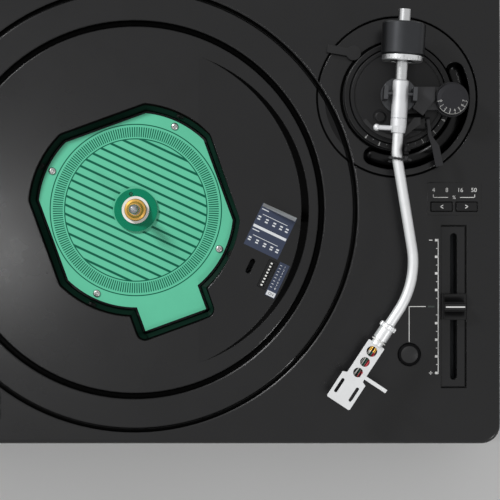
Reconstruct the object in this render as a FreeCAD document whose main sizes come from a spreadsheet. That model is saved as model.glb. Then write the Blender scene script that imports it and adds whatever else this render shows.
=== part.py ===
"""Direct drive turntable with its platter lifted off, S-shaped tonearm parked on its rest.

Frame: +X to the right, +Y to the back, +Z up, millimetres. The origin is at the middle of the
plinth's plan, on the surface that the feet stand on.
"""
import FreeCAD, Part
import math
import os

import Sketcher

from FreeCAD import Placement, Rotation, Vector

DOCUMENT = FreeCAD.newDocument("turntable")

# Every driving dimension, in millimetres, or in degrees where the name says angle or turn.
DIMENSIONS = {
    # Plinth: feet, lower housing and upper deck, stacked.
    "plinth_long": 450.0,
    "plinth_deep": 352.0,
    "plinth_corner": 14.0,
    "foot_tall": 26.0,
    "base_tall": 40.0,
    "deck_tall": 34.0,
    "deck_edge_round": 3.0,
    "side_wall": 16.0,
    "seam_tall": 1.6,
    "seam_inset": 1.5,
    "cover_thick": 1.5,
    "cover_inset": 3.0,
    "screw_inset": 8.0,
    "screw_from_side": 165.0,
    "screw_spread_y": 88.0,
    "base_screw_radius": 1.7,
    "base_screw_grip": 52.0,
    "foot_inset": 40.0,
    "foot_boss": 50.0,
    "foot_sole_inset": 5.0,
    "foot_sole_tall": 3.0,
    "foot_pad_low": 6.0,
    "foot_shoulder_drop": 8.0,
    "foot_shoulder_tall": 4.0,
    "foot_shoulder_inset": 3.0,
    "foot_bore_spare": 2.0,
    "foot_radius": 27.0,
    "foot_collar_radius": 12.0,
    "foot_stud_radius": 4.0,
    "foot_stud_grip": 14.0,
    # Record well in the deck, about the spindle.
    "spindle_offset": 50.0,
    "rim_radius": 165.6,
    "rim_gap": 1.8,
    "rim_gap_drop": 6.0,
    "ring_drop": 3.0,
    "groove_radius": 142.3,
    "groove_wide": 3.2,
    "groove_drop": 9.5,
    "rim_ledge": 0.5,
    "lip_round": 1.2,
    "floor_drop": 7.0,
    "terrace_radius": 125.6,
    "terrace_slope": 5.4,
    "terrace_start": 48.0,
    "terrace_angle": 3.0,
    "board_drop": 16.0,
    # Motor board: a disc with three flats and one wide tab.
    "board_radius": 74.0,
    "board_flat_depth": 7.5,
    "board_turn": 20.0,
    "tab_half": 24.5,
    "tab_long": 15.0,
    "board_thick": 1.6,
    "opening_gap": 1.6,
    "opening_flare": 4.0,
    "opening_lip": 1.5,
    "board_screw_inset": 4.0,
    "board_screw_radius": 1.5,
    "screw_head_radius": 3.1,
    "screw_head_tall": 1.5,
    # Motor below the board.
    "coil_count": 9.0,
    "coil_reach": 38.0,
    "coil_radius": 12.0,
    "coil_bore": 5.0,
    "coil_tall": 4.0,
    "bracket_thick": 2.0,
    "bracket_margin": 7.0,
    "hanger_spread": 12.0,
    "hanger_radius": 5.0,
    "bearing_radius": 12.0,
    "bearing_deep": 36.0,
    "bearing_floor": 3.0,
    "centre_disc_radius": 16.3,
    "centre_disc_tall": 2.4,
    "disc_notch_inset": 3.6,
    "disc_notch_radius": 1.5,
    "disc_notch_angle": 86.0,
    "spacer_radius": 10.4,
    "spacer_tall": 2.0,
    # Spindle and the brass seat that the platter drops on.
    "spindle_radius": 3.6,
    "spindle_relief": 0.3,
    "journal_radius": 4.0,
    "spindle_above_deck": 16.0,
    "hub_radius": 8.0,
    "hub_waist": 0.6,
    "hub_neck_radius": 6.4,
    "hub_top_radius": 5.2,
    "hub_tall": 10.5,
    "hub_step": 5.6,
    "hub_neck_rise": 1.0,
    "hub_top_round": 0.8,
    "running_gap": 0.05,
    "free_gap": 0.4,
    "sink": 1.0,
    # Setup switch, its labels and the cable slot on the terrace.
    "dip_offset_x": 100.0,
    "dip_offset_y": 49.0,
    "dip_angle": 25.6,
    "dip_wide": 7.0,
    "dip_long": 22.0,
    "dip_tall": 5.0,
    "dip_pitch": 2.54,
    "dip_count": 8.0,
    "dip_travel": 1.4,
    "dip_slider_wide": 1.2,
    "dip_slider_long": 1.5,
    "dip_above": 0.8,
    "label_wide": 28.4,
    "label_long": 34.3,
    "label_thick": 0.25,
    "label_offset_x": 102.2,
    "label_offset_y": 16.2,
    "strip_wide": 8.0,
    "strip_long": 27.5,
    "strip_offset_x": 107.4,
    "strip_offset_y": 53.4,
    "slot_offset_x": 87.1,
    "slot_offset_y": 42.5,
    "slot_wide": 3.6,
    "slot_long": 11.7,
    # Pitch fader.
    "fader_inset": 35.1,
    "fader_y": 72.9,
    "fader_wide": 19.2,
    "fader_long": 122.5,
    "fader_recess": 1.2,
    "fader_groove": 1.0,
    "fader_groove_drop": 4.0,
    "fader_slot_wide": 4.8,
    "fader_slot_long": 110.0,
    "fader_cap_wide": 18.6,
    "fader_cap_long": 19.6,
    "fader_skirt_tall": 1.6,
    "fader_body_wide": 15.6,
    "fader_end_tall": 6.4,
    "fader_end_round": 0.9,
    "fader_valley_tall": 4.4,
    "fader_valley_half": 3.6,
    "fader_ridge_foot": 3.1,
    "fader_ridge_half": 2.5,
    "fader_ridge_tall": 12.0,
    "fader_ridge_round": 0.5,
    "fader_stem_wide": 3.6,
    "fader_stem_long": 7.0,
    "fader_track_wide": 14.0,
    "fader_track_tall": 9.0,
    # Buttons and the power knob.
    "button_rise": 1.6,
    "button_flange": 1.5,
    "button_lip": 1.0,
    "reset_inset": 68.5,
    "reset_y": 108.9,
    "reset_radius": 8.2,
    "reset_dome": 1.6,
    "reset_flange": 1.5,
    "reset_edge": 0.5,
    "dome_shoulder_wide": 0.82,
    "dome_shoulder_rise": 0.45,
    "dome_crown_wide": 0.5,
    "dome_crown_rise": 0.85,
    "range_inset": 34.9,
    "range_y": 2.15,
    "range_spacing": 18.8,
    "range_long": 15.6,
    "range_wide": 6.5,
    "range_panel_y": 8.1,
    "range_panel_long": 40.6,
    "range_panel_deep": 24.4,
    "range_panel_rise": 0.4,
    "range_panel_corner": 2.0,
    "start_inset": 35.0,
    "start_front": 34.0,
    "start_size": 30.0,
    "speed_inset": 63.5,
    "speed_front": 28.5,
    "speed_spacing": 11.0,
    "speed_long": 20.0,
    "speed_wide": 8.0,
    "knob_inset": 25.0,
    "knob_front": 74.0,
    "knob_radius": 12.0,
    "knob_tall": 9.0,
    "knob_shaft_radius": 4.0,
    "knob_flange": 2.0,
    "knob_round": 1.2,
    "knob_mark_wide": 1.2,
    "knob_mark_deep": 0.6,
    # Tonearm base.
    "pivot_distance": 214.5,
    "pivot_bearing_angle": 23.2,
    "pad_radius": 59.9,
    "pad_groove": 1.5,
    "pad_land": 1.0,
    "pad_groove_drop": 3.5,
    "collar_gap": 2.0,
    "collar_gap_drop": 3.0,
    "scoop_radius": 47.6,
    "scoop_section": 7.0,
    "scoop_start_angle": 112.5,
    "scoop_end_angle": 136.5,
    "mount_radius": 24.0,
    "mount_tall": 2.0,
    "column_radius": 20.0,
    "column_bore": 6.0,
    "column_rise": 9.4,
    "ring_outer": 40.2,
    "ring_inner": 36.0,
    "ring_top": 10.5,
    "platform_top": 11.0,
    "platform_thick": 3.5,
    "platform_sleeve": 5.0,
    "platform_chamfer": 0.8,
    "platform_groove_radius": 31.8,
    "platform_groove_wide": 0.9,
    "platform_groove_drop": 0.8,
    "adjuster_x": 13.2,
    "adjuster_y": 15.7,
    "adjuster_well_radius": 5.4,
    "adjuster_well_deep": 0.6,
    "adjuster_radius": 4.2,
    "adjuster_rise": 1.5,
    "adjuster_round": 1.3,
    "boss_radius": 13.0,
    "boss_tall": 2.2,
    "sleeve_below_shaft": 2.0,
    "sleeve_flange": 4.0,
    "yaw_shaft_radius": 4.0,
    "yaw_shaft_long": 11.0,
    "arm_above_deck": 32.0,
    "yoke_radius": 13.2,
    "yoke_thick": 3.0,
    "yoke_gap": 9.2,
    "yoke_cheek": 3.0,
    "yoke_cheek_long": 10.0,
    "yoke_rise": 6.0,
    "pin_radius": 1.5,
    "pin_reach": 4.3,
    # Tonearm: three runs joined by two bends, then lock nut and headshell.
    "arm_heading_angle": 93.3,
    "housing_radius": 5.9,
    "housing_front": 29.0,
    "housing_back": 10.0,
    "housing_seam": 18.4,
    "housing_seam_half": 0.4,
    "housing_seam_deep": 0.5,
    "housing_edge": 1.0,
    "housing_taper_long": 5.0,
    "housing_taper": 0.8,
    "tube_radius": 3.85,
    "tube_bore": 3.2,
    "tube_socket": 9.0,
    "run_one": 45.2,
    "bend_one_angle": 12.6,
    "bend_one_radius": 40.0,
    "run_two": 94.4,
    "bend_two_angle": 42.6,
    "bend_two_radius": 65.5,
    "run_three": 44.6,
    "stub_at": 25.7,
    "stub_reach": 15.8,
    "stub_radius": 1.9,
    "stub_ball": 2.6,
    "nut_start": 37.4,
    "nut_long": 13.1,
    "nut_flange_long": 3.6,
    "nut_throat": 5.6,
    "nut_radius": 6.5,
    "nut_body_radius": 5.4,
    "nut_rib_count": 12.0,
    "nut_rib_deep": 0.5,
    "nut_rib_radius": 1.0,
    "plug_long": 9.0,
    "neck_radius": 4.4,
    "gasket_at": 51.4,
    "gasket_thick": 0.9,
    "gasket_radius": 5.5,
    "shell_start": 54.5,
    "shell_narrow_half": 6.75,
    "shell_wide_half": 9.9,
    "shell_narrow_long": 29.0,
    "shell_flare_long": 1.4,
    "shell_long": 52.0,
    "shell_thick": 3.0,
    "shell_drop": 2.0,
    "shell_back_corner": 0.5,
    "shell_front_corner": 0.8,
    "shell_hole_radius": 3.6,
    "contact_hole_radius": 3.95,
    "shell_hole_first": 6.6,
    "shell_hole_step": 9.25,
    "slot_half_spacing": 6.35,
    "shell_slot_start": 34.4,
    "shell_slot_long": 12.0,
    "shell_slot_radius": 1.25,
    "lift_at": 25.5,
    "lift_reach": 24.9,
    "lift_wide": 2.8,
    "lift_root": 3.0,
    "lift_hook": 3.0,
    "lift_hook_thick": 2.4,
    "lift_thick": 1.2,
    "lift_level": 1.0,
    "contact_radius": 0.45,
    "contact_long": 5.0,
    "contact_drop": 0.5,
    "contact_back": 1.5,
    "contact_offset": 1.1,
    "lead_radius": 0.65,
    "lead_spacing": 1.75,
    "lead_long": 24.0,
    "lead_round_out": 1.0,
    "lead_round_down": 1.6,
    "lead_round_back": 30.0,
    "lead_straight": 0.7,
    "lead_bend": 2.6,
    "lead_bend_long": 1.0,
    "lead_fan": 2.0,
    "lead_drop": 1.3,
    # Rear shaft and counterweight.
    "shaft_radius": 4.5,
    "shaft_long": 62.0,
    "weight_centre": 40.0,
    "weight_long": 24.0,
    "bush_back_inset": 1.0,
    "bush_front_inset": 2.0,
    "weight_edge": 1.0,
    "weight_radius": 16.0,
    "bush_radius": 8.0,
    "dial_thick": 4.0,
    "dial_radius": 15.0,
    "dial_sleeve": 9.2,
    # Anti-skating, cueing and rest, about the tonearm pivot.
    "skate_x": 39.0,
    "skate_y": 3.2,
    "skate_radius": 12.2,
    "skate_cup_radius": 12.8,
    "skate_base_tall": 7.0,
    "skate_cup_above": 1.0,
    "skate_wing_under": 2.0,
    "skate_wing_start": 9.0,
    "skate_plate_in": 0.6,
    "skate_plate_corner": 0.4,
    "skate_plate_start": 5.0,
    "skate_plate_slope": 7.0,
    "skate_plate_sink": 0.01,
    "skate_stud_below": 1.0,
    "skate_dial_tall": 6.0,
    "skate_plate_gap": 0.6,
    "skate_plate_thick": 2.4,
    "skate_wing_back": 6.0,
    "skate_wing_front": 11.0,
    "skate_point_x": 17.6,
    "skate_point_y": 15.3,
    "skate_stud_radius": 2.0,
    "lifter_x": 13.0,
    "lifter_y": 19.6,
    "lifter_long": 13.4,
    "lifter_radius": 6.4,
    "lifter_rod_radius": 1.6,
    "lifter_rod_long": 11.5,
    "lifter_arc_radius": 32.0,
    "lifter_arc_wide": 3.0,
    "lifter_arc_thick": 1.5,
    "lifter_clearance": 1.7,
    "lever_x": 21.8,
    "lever_pin_radius": 1.4,
    "lever_neck_x": 23.0,
    "lever_neck_y": 30.1,
    "lever_neck_wide": 2.8,
    "lever_wide": 2.6,
    "lever_root_wide": 2.0,
    "lever_hub_radius": 3.4,
    "lever_pivot_rise": 3.9,
    "lever_pin_sink": 0.5,
    "lever_root_in": 1.0,
    "lever_blade_rise": 2.0,
    "lever_thick": 2.5,
    "lever_reach_y": 52.7,
    "lever_reach_x": 30.25,
    "paddle_wide": 5.6,
    "paddle_start_x": 27.1,
    "paddle_start_y": 37.6,
    "paddle_slant": 1.2,
    "rest_at": 41.0,
    "rest_long": 7.0,
    "rest_clearance": 2.3,
    "rest_wall": 3.0,
    "rest_side_gap": 1.4,
    "rest_wall_top": 1.5,
    "rest_shelf_thick": 2.2,
    "rest_post_wide": 5.0,
    "rest_step_tall": 3.0,
    "rest_step_inset": 9.0,
    "rest_ear_above": 1.0,
    "clip_pin_radius": 1.0,
    "clip_hub_radius": 1.8,
    "rest_ear_long": 1.6,
    "clip_long": 12.4,
    "clip_thick": 1.2,
    "clip_lip_tall": 3.0,
    "tie_at": 47.6,
    "tie_radius": 0.6,
    "tie_slack": 0.1,
    "tie_knot_radius": 1.3,
    "tie_end_long": 5.0,
    "lock_reach": 46.2,
    "lock_radius": 5.5,
    "lock_tall": 5.0,
    "lock_post_radius": 2.0,
    "lock_post_rise": 3.4,
    "lock_long": 20.0,
    "lock_wide": 6.0,
    # Boards and the back panel.
    "control_long": 110.0,
    "control_deep": 90.0,
    "control_side_gap": 19.0,
    "control_boss_gap": 6.0,
    "control_thick": 1.6,
    "control_leg_inset": 6.0,
    "control_leg_radius": 3.0,
    "chip_side": 14.0,
    "chip_tall": 2.0,
    "chip_offset": 20.0,
    "driver_long": 22.0,
    "driver_deep": 10.0,
    "driver_tall": 4.0,
    "driver_offset": 30.0,
    "control_z": 58.0,
    "transformer_long": 72.0,
    "transformer_deep": 58.0,
    "transformer_tall": 42.0,
    "transformer_side_gap": 35.0,
    "transformer_boss_gap": 27.0,
    "transformer_foot": 16.0,
    "transformer_foot_thick": 2.0,
    "winding_inset": 26.0,
    "winding_drop": 16.0,
    "panel_side_inset": 105.0,
    "panel_long": 96.0,
    "panel_tall": 26.0,
    "panel_thick": 2.0,
    "panel_inset": 7.0,
    "jack_spacing": 18.0,
    "jack_radius": 4.15,
    "jack_flange_radius": 5.6,
    "jack_long": 6.0,
    "jack_shank_radius": 3.0,
    "jack_shank_long": 10.0,
    "jack_flange_thick": 1.2,
    "jack_bore": 1.7,
    "jack_bore_floor": 0.5,
    "ground_radius": 4.5,
    "ground_long": 5.0,
    "inlet_side_inset": 85.0,
    "inlet_face_inset": 1.0,
    "inlet_pin_spread": 4.3,
    "inlet_long": 30.0,
    "inlet_tall": 22.0,
    "inlet_deep": 15.0,
    "inlet_wall": 3.0,
    "inlet_socket_deep": 12.0,
    "inlet_pin_long": 6.5,
    "inlet_pin_radius": 1.2,
}


class Size:
    """A number together with the expression that gives it from the sheet."""

    def __init__(self, value, text):
        self.value = value
        self.text = text

    @staticmethod
    def of(item):
        """Return item as a Size, with a plain number as its own expression."""
        if isinstance(item, Size):
            return item
        return Size(float(item), f"({float(item)!r})")

    def __add__(self, other):
        other = Size.of(other)
        return Size(self.value + other.value, f"({self.text} + {other.text})")

    def __radd__(self, other):
        return Size.of(other) + self

    def __sub__(self, other):
        other = Size.of(other)
        return Size(self.value - other.value, f"({self.text} - {other.text})")

    def __rsub__(self, other):
        return Size.of(other) - self

    def __mul__(self, other):
        other = Size.of(other)
        return Size(self.value * other.value, f"({self.text} * {other.text})")

    def __rmul__(self, other):
        return Size.of(other) * self

    def __truediv__(self, other):
        other = Size.of(other)
        return Size(self.value / other.value, f"({self.text} / {other.text})")

    def __neg__(self):
        return Size(-self.value, f"(0 - {self.text})")


def cosine(angle):
    """Return the cosine of an angle in degrees as a Size."""
    angle = Size.of(angle)
    return Size(math.cos(math.radians(angle.value)), f"cos({angle.text})")


def sine(angle):
    """Return the sine of an angle in degrees as a Size."""
    angle = Size.of(angle)
    return Size(math.sin(math.radians(angle.value)), f"sin({angle.text})")


def tangent(angle):
    """Return the tangent of an angle in degrees as a Size."""
    angle = Size.of(angle)
    return Size(math.tan(math.radians(angle.value)), f"tan({angle.text})")


def other_leg(hypotenuse, leg):
    """Return the remaining leg of a right triangle as a Size."""
    hypotenuse = Size.of(hypotenuse)
    leg = Size.of(leg)
    value = math.sqrt(hypotenuse.value ** 2 - leg.value ** 2)
    text = f"sqrt({hypotenuse.text} * {hypotenuse.text} - {leg.text} * {leg.text})"
    return Size(value, text)


class Sizes:
    """The sheet of driving dimensions, read by name."""

    def __init__(self, document, dimensions):
        self.sheet = document.addObject("Spreadsheet::Sheet", "sizes")
        self.known = {}
        for row, (name, value) in enumerate(dimensions.items(), start=1):
            self.sheet.set(f"A{row}", name)
            self.sheet.set(f"B{row}", str(value))
            self.sheet.setAlias(f"B{row}", name)
            self.known[name] = Size(value, f"sizes.{name}")
        document.recompute()

    def __getattr__(self, name):
        return self.known[name]


D = Sizes(DOCUMENT, DIMENSIONS)


def bind(item, path, size):
    """Drive one property of a document object by a size."""
    item.setExpression(path, Size.of(size).text)


def put(item, x=0.0, y=0.0, z=0.0, rotation=None):
    """Place a document object by sizes, with an optional fixed rotation."""
    item.Placement = Placement(Vector(0, 0, 0), rotation or Rotation())
    bind(item, "Placement.Base.x", x)
    bind(item, "Placement.Base.y", y)
    bind(item, "Placement.Base.z", z)
    return item


def new(kind, name):
    """Add a document object of a kind, named and labelled alike."""
    item = DOCUMENT.addObject(kind, name)
    item.Label = name
    return item


def block(name, long, deep, tall, x, y, z):
    """Make a box centred on x and y that stands on height z."""
    item = new("Part::Box", name)
    bind(item, "Length", long)
    bind(item, "Width", deep)
    bind(item, "Height", tall)
    return put(item, x - long / 2, y - deep / 2, z)


def drum(name, radius, tall, x=0.0, y=0.0, z=0.0):
    """Make an upright cylinder that stands on height z."""
    item = new("Part::Cylinder", name)
    bind(item, "Radius", radius)
    bind(item, "Height", tall)
    return put(item, x, y, z)


def rod(name, radius, long, x, y, z, along):
    """Make a cylinder that starts at a point and runs along a direction."""
    item = new("Part::Cylinder", name)
    bind(item, "Radius", radius)
    bind(item, "Height", long)
    return put(item, x, y, z, Rotation(Vector(0, 0, 1), along))


def ball(name, radius, x, y, z):
    """Make a sphere about a point."""
    item = new("Part::Sphere", name)
    bind(item, "Radius", radius)
    return put(item, x, y, z)


def join(name, pieces):
    """Fuse several objects into one."""
    item = new("Part::MultiFuse", name)
    item.Shapes = pieces
    return item


def overlap(name, pieces):
    """Keep only what several objects share."""
    item = new("Part::MultiCommon", name)
    item.Shapes = pieces
    return item


def carve(name, base, tools):
    """Cut one or more tools out of a base."""
    item = new("Part::Cut", name)
    item.Base = base
    item.Tool = tools[0] if len(tools) == 1 else join(name + "_tools", tools)
    return item


def ring(name, outer, inner, tall, x=0.0, y=0.0, z=0.0):
    """Make an upright tube that stands on height z."""
    outside = drum(name + "_outside", outer, tall, x, y, z)
    inside = drum(name + "_inside", inner, tall, x, y, z)
    return carve(name, outside, [inside])


def group(name, pieces):
    """Keep several separate solids together as one node."""
    item = new("Part::Compound", name)
    item.Links = pieces
    return item


def soften(name, base, radius, picked):
    """Round the edges of a base that a test picks."""
    DOCUMENT.recompute()
    item = new("Part::Fillet", name)
    item.Base = base
    reach = Size.of(radius).value
    edges = enumerate(base.Shape.Edges, start=1)
    item.Edges = [(number, reach, reach) for number, edge in edges if picked(edge)]
    return item


def is_upright(edge):
    """Tell whether an edge is a straight line along Z."""
    first, last = edge.Vertexes[0].Point, edge.Vertexes[-1].Point
    return len(edge.Vertexes) == 2 and math.hypot(first.x - last.x, first.y - last.y) < 1e-6


def lies_at(height):
    """Return a test for edges that lie level at a height."""
    level = Size.of(height).value

    def test(edge):
        box = edge.BoundBox
        return abs(box.ZMin - level) < 1e-6 and abs(box.ZMax - level) < 1e-6

    return test


def plane_of(body, role):
    """Return a body's own origin plane or axis by its role."""
    return next(item for item in body.Origin.OriginFeatures if item.Role == role)


def pin_vertex(sketch, geometry, end, x, y):
    """Hold a sketch point at two sizes from the sketch's origin."""
    for kind, size in (("DistanceX", Size.of(x)), ("DistanceY", Size.of(y))):
        if size.value < 0:
            constraint = Sketcher.Constraint(kind, geometry, end, -1, 1, -size.value)
            text = (-size).text
        else:
            constraint = Sketcher.Constraint(kind, -1, 1, geometry, end, size.value)
            text = size.text
        number = sketch.addConstraint(constraint)
        sketch.setExpression(f"Constraints[{number}]", text)


def draw(sketch, points, bulges=None):
    """Draw a closed outline in a sketch, with every corner held by sizes.

    bulges maps the number of a side to the radius of the arc that takes its place; a negative
    radius curves to the other side.
    """
    bulges = bulges or {}
    corners = [Vector(Size.of(x).value, Size.of(y).value, 0) for x, y in points]
    count = len(points)
    for side in range(count):
        start, stop = corners[side], corners[(side + 1) % count]
        if side in bulges:
            radius = Size.of(bulges[side]).value
            chord = stop - start
            depth = abs(radius) - math.sqrt(radius ** 2 - (chord.Length / 2) ** 2)
            outward = Vector(chord.y, -chord.x, 0).normalize() * math.copysign(depth, radius)
            middle = (start + stop) * 0.5 + outward
            sketch.addGeometry(Part.Arc(start, middle, stop), False)
        else:
            sketch.addGeometry(Part.LineSegment(start, stop), False)
    for side in range(count):
        if side in bulges:
            radius = Size.of(bulges[side])
            held = radius if radius.value > 0 else -radius
            number = sketch.addConstraint(Sketcher.Constraint("Radius", side, held.value))
            sketch.setExpression(f"Constraints[{number}]", held.text)
            arc = sketch.Geometry[side]
            starts = (arc.StartPoint - corners[side]).Length < 1e-6
            first, second = (1, 2) if starts else (2, 1)
            pin_vertex(sketch, side, first, *points[side])
            pin_vertex(sketch, side, second, *points[(side + 1) % count])
        else:
            pin_vertex(sketch, side, 1, *points[side])
            pin_vertex(sketch, side, 2, *points[(side + 1) % count])


def body_sketch(body, name, role, points, bulges=None):
    """Add a sketch with one outline to a body, on one of its origin planes."""
    sketch = body.newObject("Sketcher::SketchObject", name)
    sketch.AttachmentSupport = [(plane_of(body, role), "")]
    sketch.MapMode = "FlatFace"
    draw(sketch, points, bulges)
    return sketch


def turned(name, profile, x=0.0, y=0.0, z=0.0, rotation=None):
    """Turn a profile of (radius, height) points about the upright axis."""
    body = new("PartDesign::Body", name)
    sketch = body_sketch(body, name + "_profile", "XZ_Plane", profile)
    spin = body.newObject("PartDesign::Revolution", name + "_turning")
    spin.Profile = sketch
    spin.ReferenceAxis = (sketch, ["V_Axis"])
    spin.Angle = 360.0
    return put(body, x, y, z, rotation)


def slab(name, outline, thick, x=0.0, y=0.0, z=0.0, bulges=None, rotation=None, corner=None):
    """Pad an outline of (x, y) points upwards, with its upright edges rounded if asked."""
    body = new("PartDesign::Body", name)
    sketch = body_sketch(body, name + "_outline", "XY_Plane", outline, bulges)
    pad = body.newObject("PartDesign::Pad", name + "_pad")
    pad.Profile = sketch
    bind(pad, "Length", thick)
    if corner is not None:
        round_body(body, name + "_corners", corner, is_upright)
    return put(body, x, y, z, rotation)


def round_body(body, name, radius, picked):
    """Round the edges of a body's tip that a test picks."""
    DOCUMENT.recompute()
    tip = body.Tip
    edges = enumerate(tip.Shape.Edges, start=1)
    names = [f"Edge{number}" for number, edge in edges if picked(edge)]
    fillet = body.newObject("PartDesign::Fillet", name)
    fillet.Base = (tip, names)
    bind(fillet, "Radius", radius)
    return fillet


def rectangle(long, deep):
    """Return the corners of a rectangle about the origin."""
    return [(-long / 2, -deep / 2), (long / 2, -deep / 2), (long / 2, deep / 2), (-long / 2, deep / 2)]


def rounded_route(points, radii):
    """Return a wire of straight runs joined by tangent arcs, one radius for each inner point."""
    edges = []
    start = points[0]
    for index in range(1, len(points) - 1):
        here = points[index]
        arriving = (here - points[index - 1]).normalize()
        leaving = (points[index + 1] - here).normalize()
        turn = arriving.getAngle(leaving)
        reach = radii[index - 1] * math.tan(turn / 2)
        enter = here - arriving * reach
        leave = here + leaving * reach
        inward = (leaving - arriving).normalize()
        centre = here + inward * (radii[index - 1] / math.cos(turn / 2))
        middle = centre - inward * radii[index - 1]
        edges.append(Part.LineSegment(start, enter).toShape())
        edges.append(Part.Arc(enter, middle, leave).toShape())
        start = leave
    edges.append(Part.LineSegment(start, points[-1]).toShape())
    return Part.Wire(edges)


def piped(name, route, radius):
    """Sweep a round section of a size along a route."""
    spine = new("Part::Feature", name + "_route")
    spine.Shape = route
    section = new("Part::Circle", name + "_section")
    bind(section, "Radius", radius)
    first = route.Edges[0]
    heading = first.tangentAt(first.FirstParameter)
    section.Placement = Placement(first.valueAt(first.FirstParameter), Rotation(Vector(0, 0, 1), heading))
    sweep = new("Part::Sweep", name)
    sweep.Sections = [section]
    sweep.Spine = (spine, [f"Edge{number + 1}" for number in range(len(route.Edges))])
    sweep.Solid = True
    sweep.Frenet = False
    return sweep


PARTS = []


def part(item):
    """Register a finished sub-part under its label."""
    PARTS.append(item)
    return item


# Levels and centres that several sub-parts share.
BASE_BOTTOM = D.foot_tall
BASE_TOP = D.foot_tall + D.base_tall
DECK_TOP = BASE_TOP + D.deck_tall
CEILING = DECK_TOP - D.board_drop
SPINDLE_X = -D.spindle_offset
PIVOT_X = SPINDLE_X + D.pivot_distance * cosine(D.pivot_bearing_angle)
PIVOT_Y = D.pivot_distance * sine(D.pivot_bearing_angle)
ARM_AXIS = DECK_TOP + D.arm_above_deck
PLATFORM_TOP = DECK_TOP + D.platform_top
BOARD_TURN = Rotation(Vector(0, 0, 1), D.board_turn.value)
QUARTER_ANGLES = [D.board_turn + 45.0 + 90.0 * quarter for quarter in range(4)]
LEVEL_GAP = 1.0
LOCK_ANGLE = 135.0
LOCK_HEADING = 170.0

ALONG_X = Vector(1, 0, 0)
LENGTHWAYS = Rotation(Vector(0, 1, 0), 90.0)
RIGHT_EDGE = D.plinth_long / 2
LEFT_EDGE = -D.plinth_long / 2
BACK_EDGE = D.plinth_deep / 2
FRONT_EDGE = -D.plinth_deep / 2
FADER_X = RIGHT_EDGE - D.fader_inset
RESET_X = RIGHT_EDGE - D.reset_inset
RANGE_X = RIGHT_EDGE - D.range_inset
START_X = LEFT_EDGE + D.start_inset
START_Y = FRONT_EDGE + D.start_front
SPEED_X = LEFT_EDGE + D.speed_inset
SPEED_Y = FRONT_EDGE + D.speed_front
KNOB_X = LEFT_EDGE + D.knob_inset
KNOB_Y = FRONT_EDGE + D.knob_front
BOARD_FLAT = D.board_radius - D.board_flat_depth
TAB_REACH = D.board_radius + D.tab_long
BOARD_SCREW_REACH = D.board_radius - D.board_screw_inset
HANGER_REACH = D.board_radius + D.hanger_spread


def board_outline():
    """Return the motor board's outline: four arcs, three flats and one tab."""
    flat = BOARD_FLAT
    half = other_leg(D.board_radius, flat)
    root = other_leg(D.board_radius, D.tab_half)
    points = [
        (flat, -half),
        (flat, half),
        (half, flat),
        (-half, flat),
        (-flat, half),
        (-flat, -half),
        (-D.tab_half, -root),
        (-D.tab_half, -TAB_REACH),
        (D.tab_half, -TAB_REACH),
        (D.tab_half, -root),
    ]
    bulges = {1: D.board_radius, 3: D.board_radius, 5: D.board_radius, 9: D.board_radius}
    return points, bulges


def motor_opening():
    """Return the flared hole in the deck that follows the motor board's outline."""
    points, bulges = board_outline()
    outline = new("Sketcher::SketchObject", "opening_outline")
    draw(outline, points, bulges)
    DOCUMENT.recompute()
    wire = Part.Wire(Part.__sortEdges__(outline.Shape.Edges))
    rise = D.board_drop.value - D.floor_drop.value
    gap = D.opening_gap.value
    flare_reach = gap + D.opening_flare.value
    lip = D.opening_lip.value
    narrow = wire.makeOffset2D(gap)
    middle = wire.makeOffset2D(flare_reach)
    middle.translate(Vector(0, 0, rise - lip))
    wide = wire.makeOffset2D(flare_reach + lip)
    wide.translate(Vector(0, 0, rise))
    flare = Part.makeLoft([narrow, middle, wide], True, True)
    neck = Part.Face(wide).extrude(Vector(0, 0, D.floor_drop.value + LEVEL_GAP))
    foot = Part.Face(narrow).extrude(Vector(0, 0, -LEVEL_GAP))
    item = new("Part::Feature", "motor_opening")
    item.Shape = flare.fuse(neck).fuse(foot).removeSplitter()
    return put(item, SPINDLE_X, 0.0, CEILING, BOARD_TURN)


def terrace():
    """Return the shallow sloping recess at the right of the well floor."""
    deep = 12.0
    cone = new("Part::Cone", "terrace")
    bind(cone, "Radius1", D.terrace_radius)
    bind(cone, "Radius2", D.terrace_radius + D.terrace_slope * (deep / 4.0))
    bind(cone, "Height", deep)
    tilt = Rotation(Vector(0, 1, 0), D.terrace_angle.value)
    put(cone, SPINDLE_X, 0.0, DECK_TOP - D.floor_drop + D.terrace_start * tangent(D.terrace_angle), tilt)
    return cone


def on_terrace(offset):
    """Return the terrace's height at a distance to the right of the spindle."""
    return DECK_TOP - D.floor_drop - (offset - D.terrace_start) * tangent(D.terrace_angle)


TERRACE_TILT = Rotation(Vector(0, 1, 0), D.terrace_angle.value)
DIP_TURN = Rotation(Vector(0, 0, 1), -D.dip_angle.value)


def rounded_lip(edge, level, side):
    """Return three points that round a lip, from the level run to the drop at its edge."""
    near = 0.3 * D.lip_round
    return [
        (edge + side * D.lip_round, level),
        (edge + side * near, level - near),
        (edge, level - D.lip_round),
    ]


def well_cutters():
    """Return the cuts that make the stepped record well, with the lips of its steps rounded."""
    ridge = D.groove_radius - D.groove_wide
    ledge = D.rim_radius - D.rim_ledge
    rim = D.rim_radius + D.rim_gap
    profile = [(0.0, -D.floor_drop)]
    profile += rounded_lip(ridge, -D.floor_drop, -1)
    profile += [(ridge, -D.groove_drop), (D.groove_radius, -D.groove_drop)]
    profile += rounded_lip(D.groove_radius, -D.ring_drop, 1)[::-1]
    profile += rounded_lip(ledge, -D.ring_drop, -1)
    profile += [(ledge, -D.rim_gap_drop), (rim, -D.rim_gap_drop)]
    profile += rounded_lip(rim, 0.0, 1)[::-1]
    profile += [(rim + D.lip_round, LEVEL_GAP), (0.0, LEVEL_GAP)]
    return [turned("record_well", profile, SPINDLE_X, 0.0, DECK_TOP), terrace(), motor_opening()]


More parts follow.
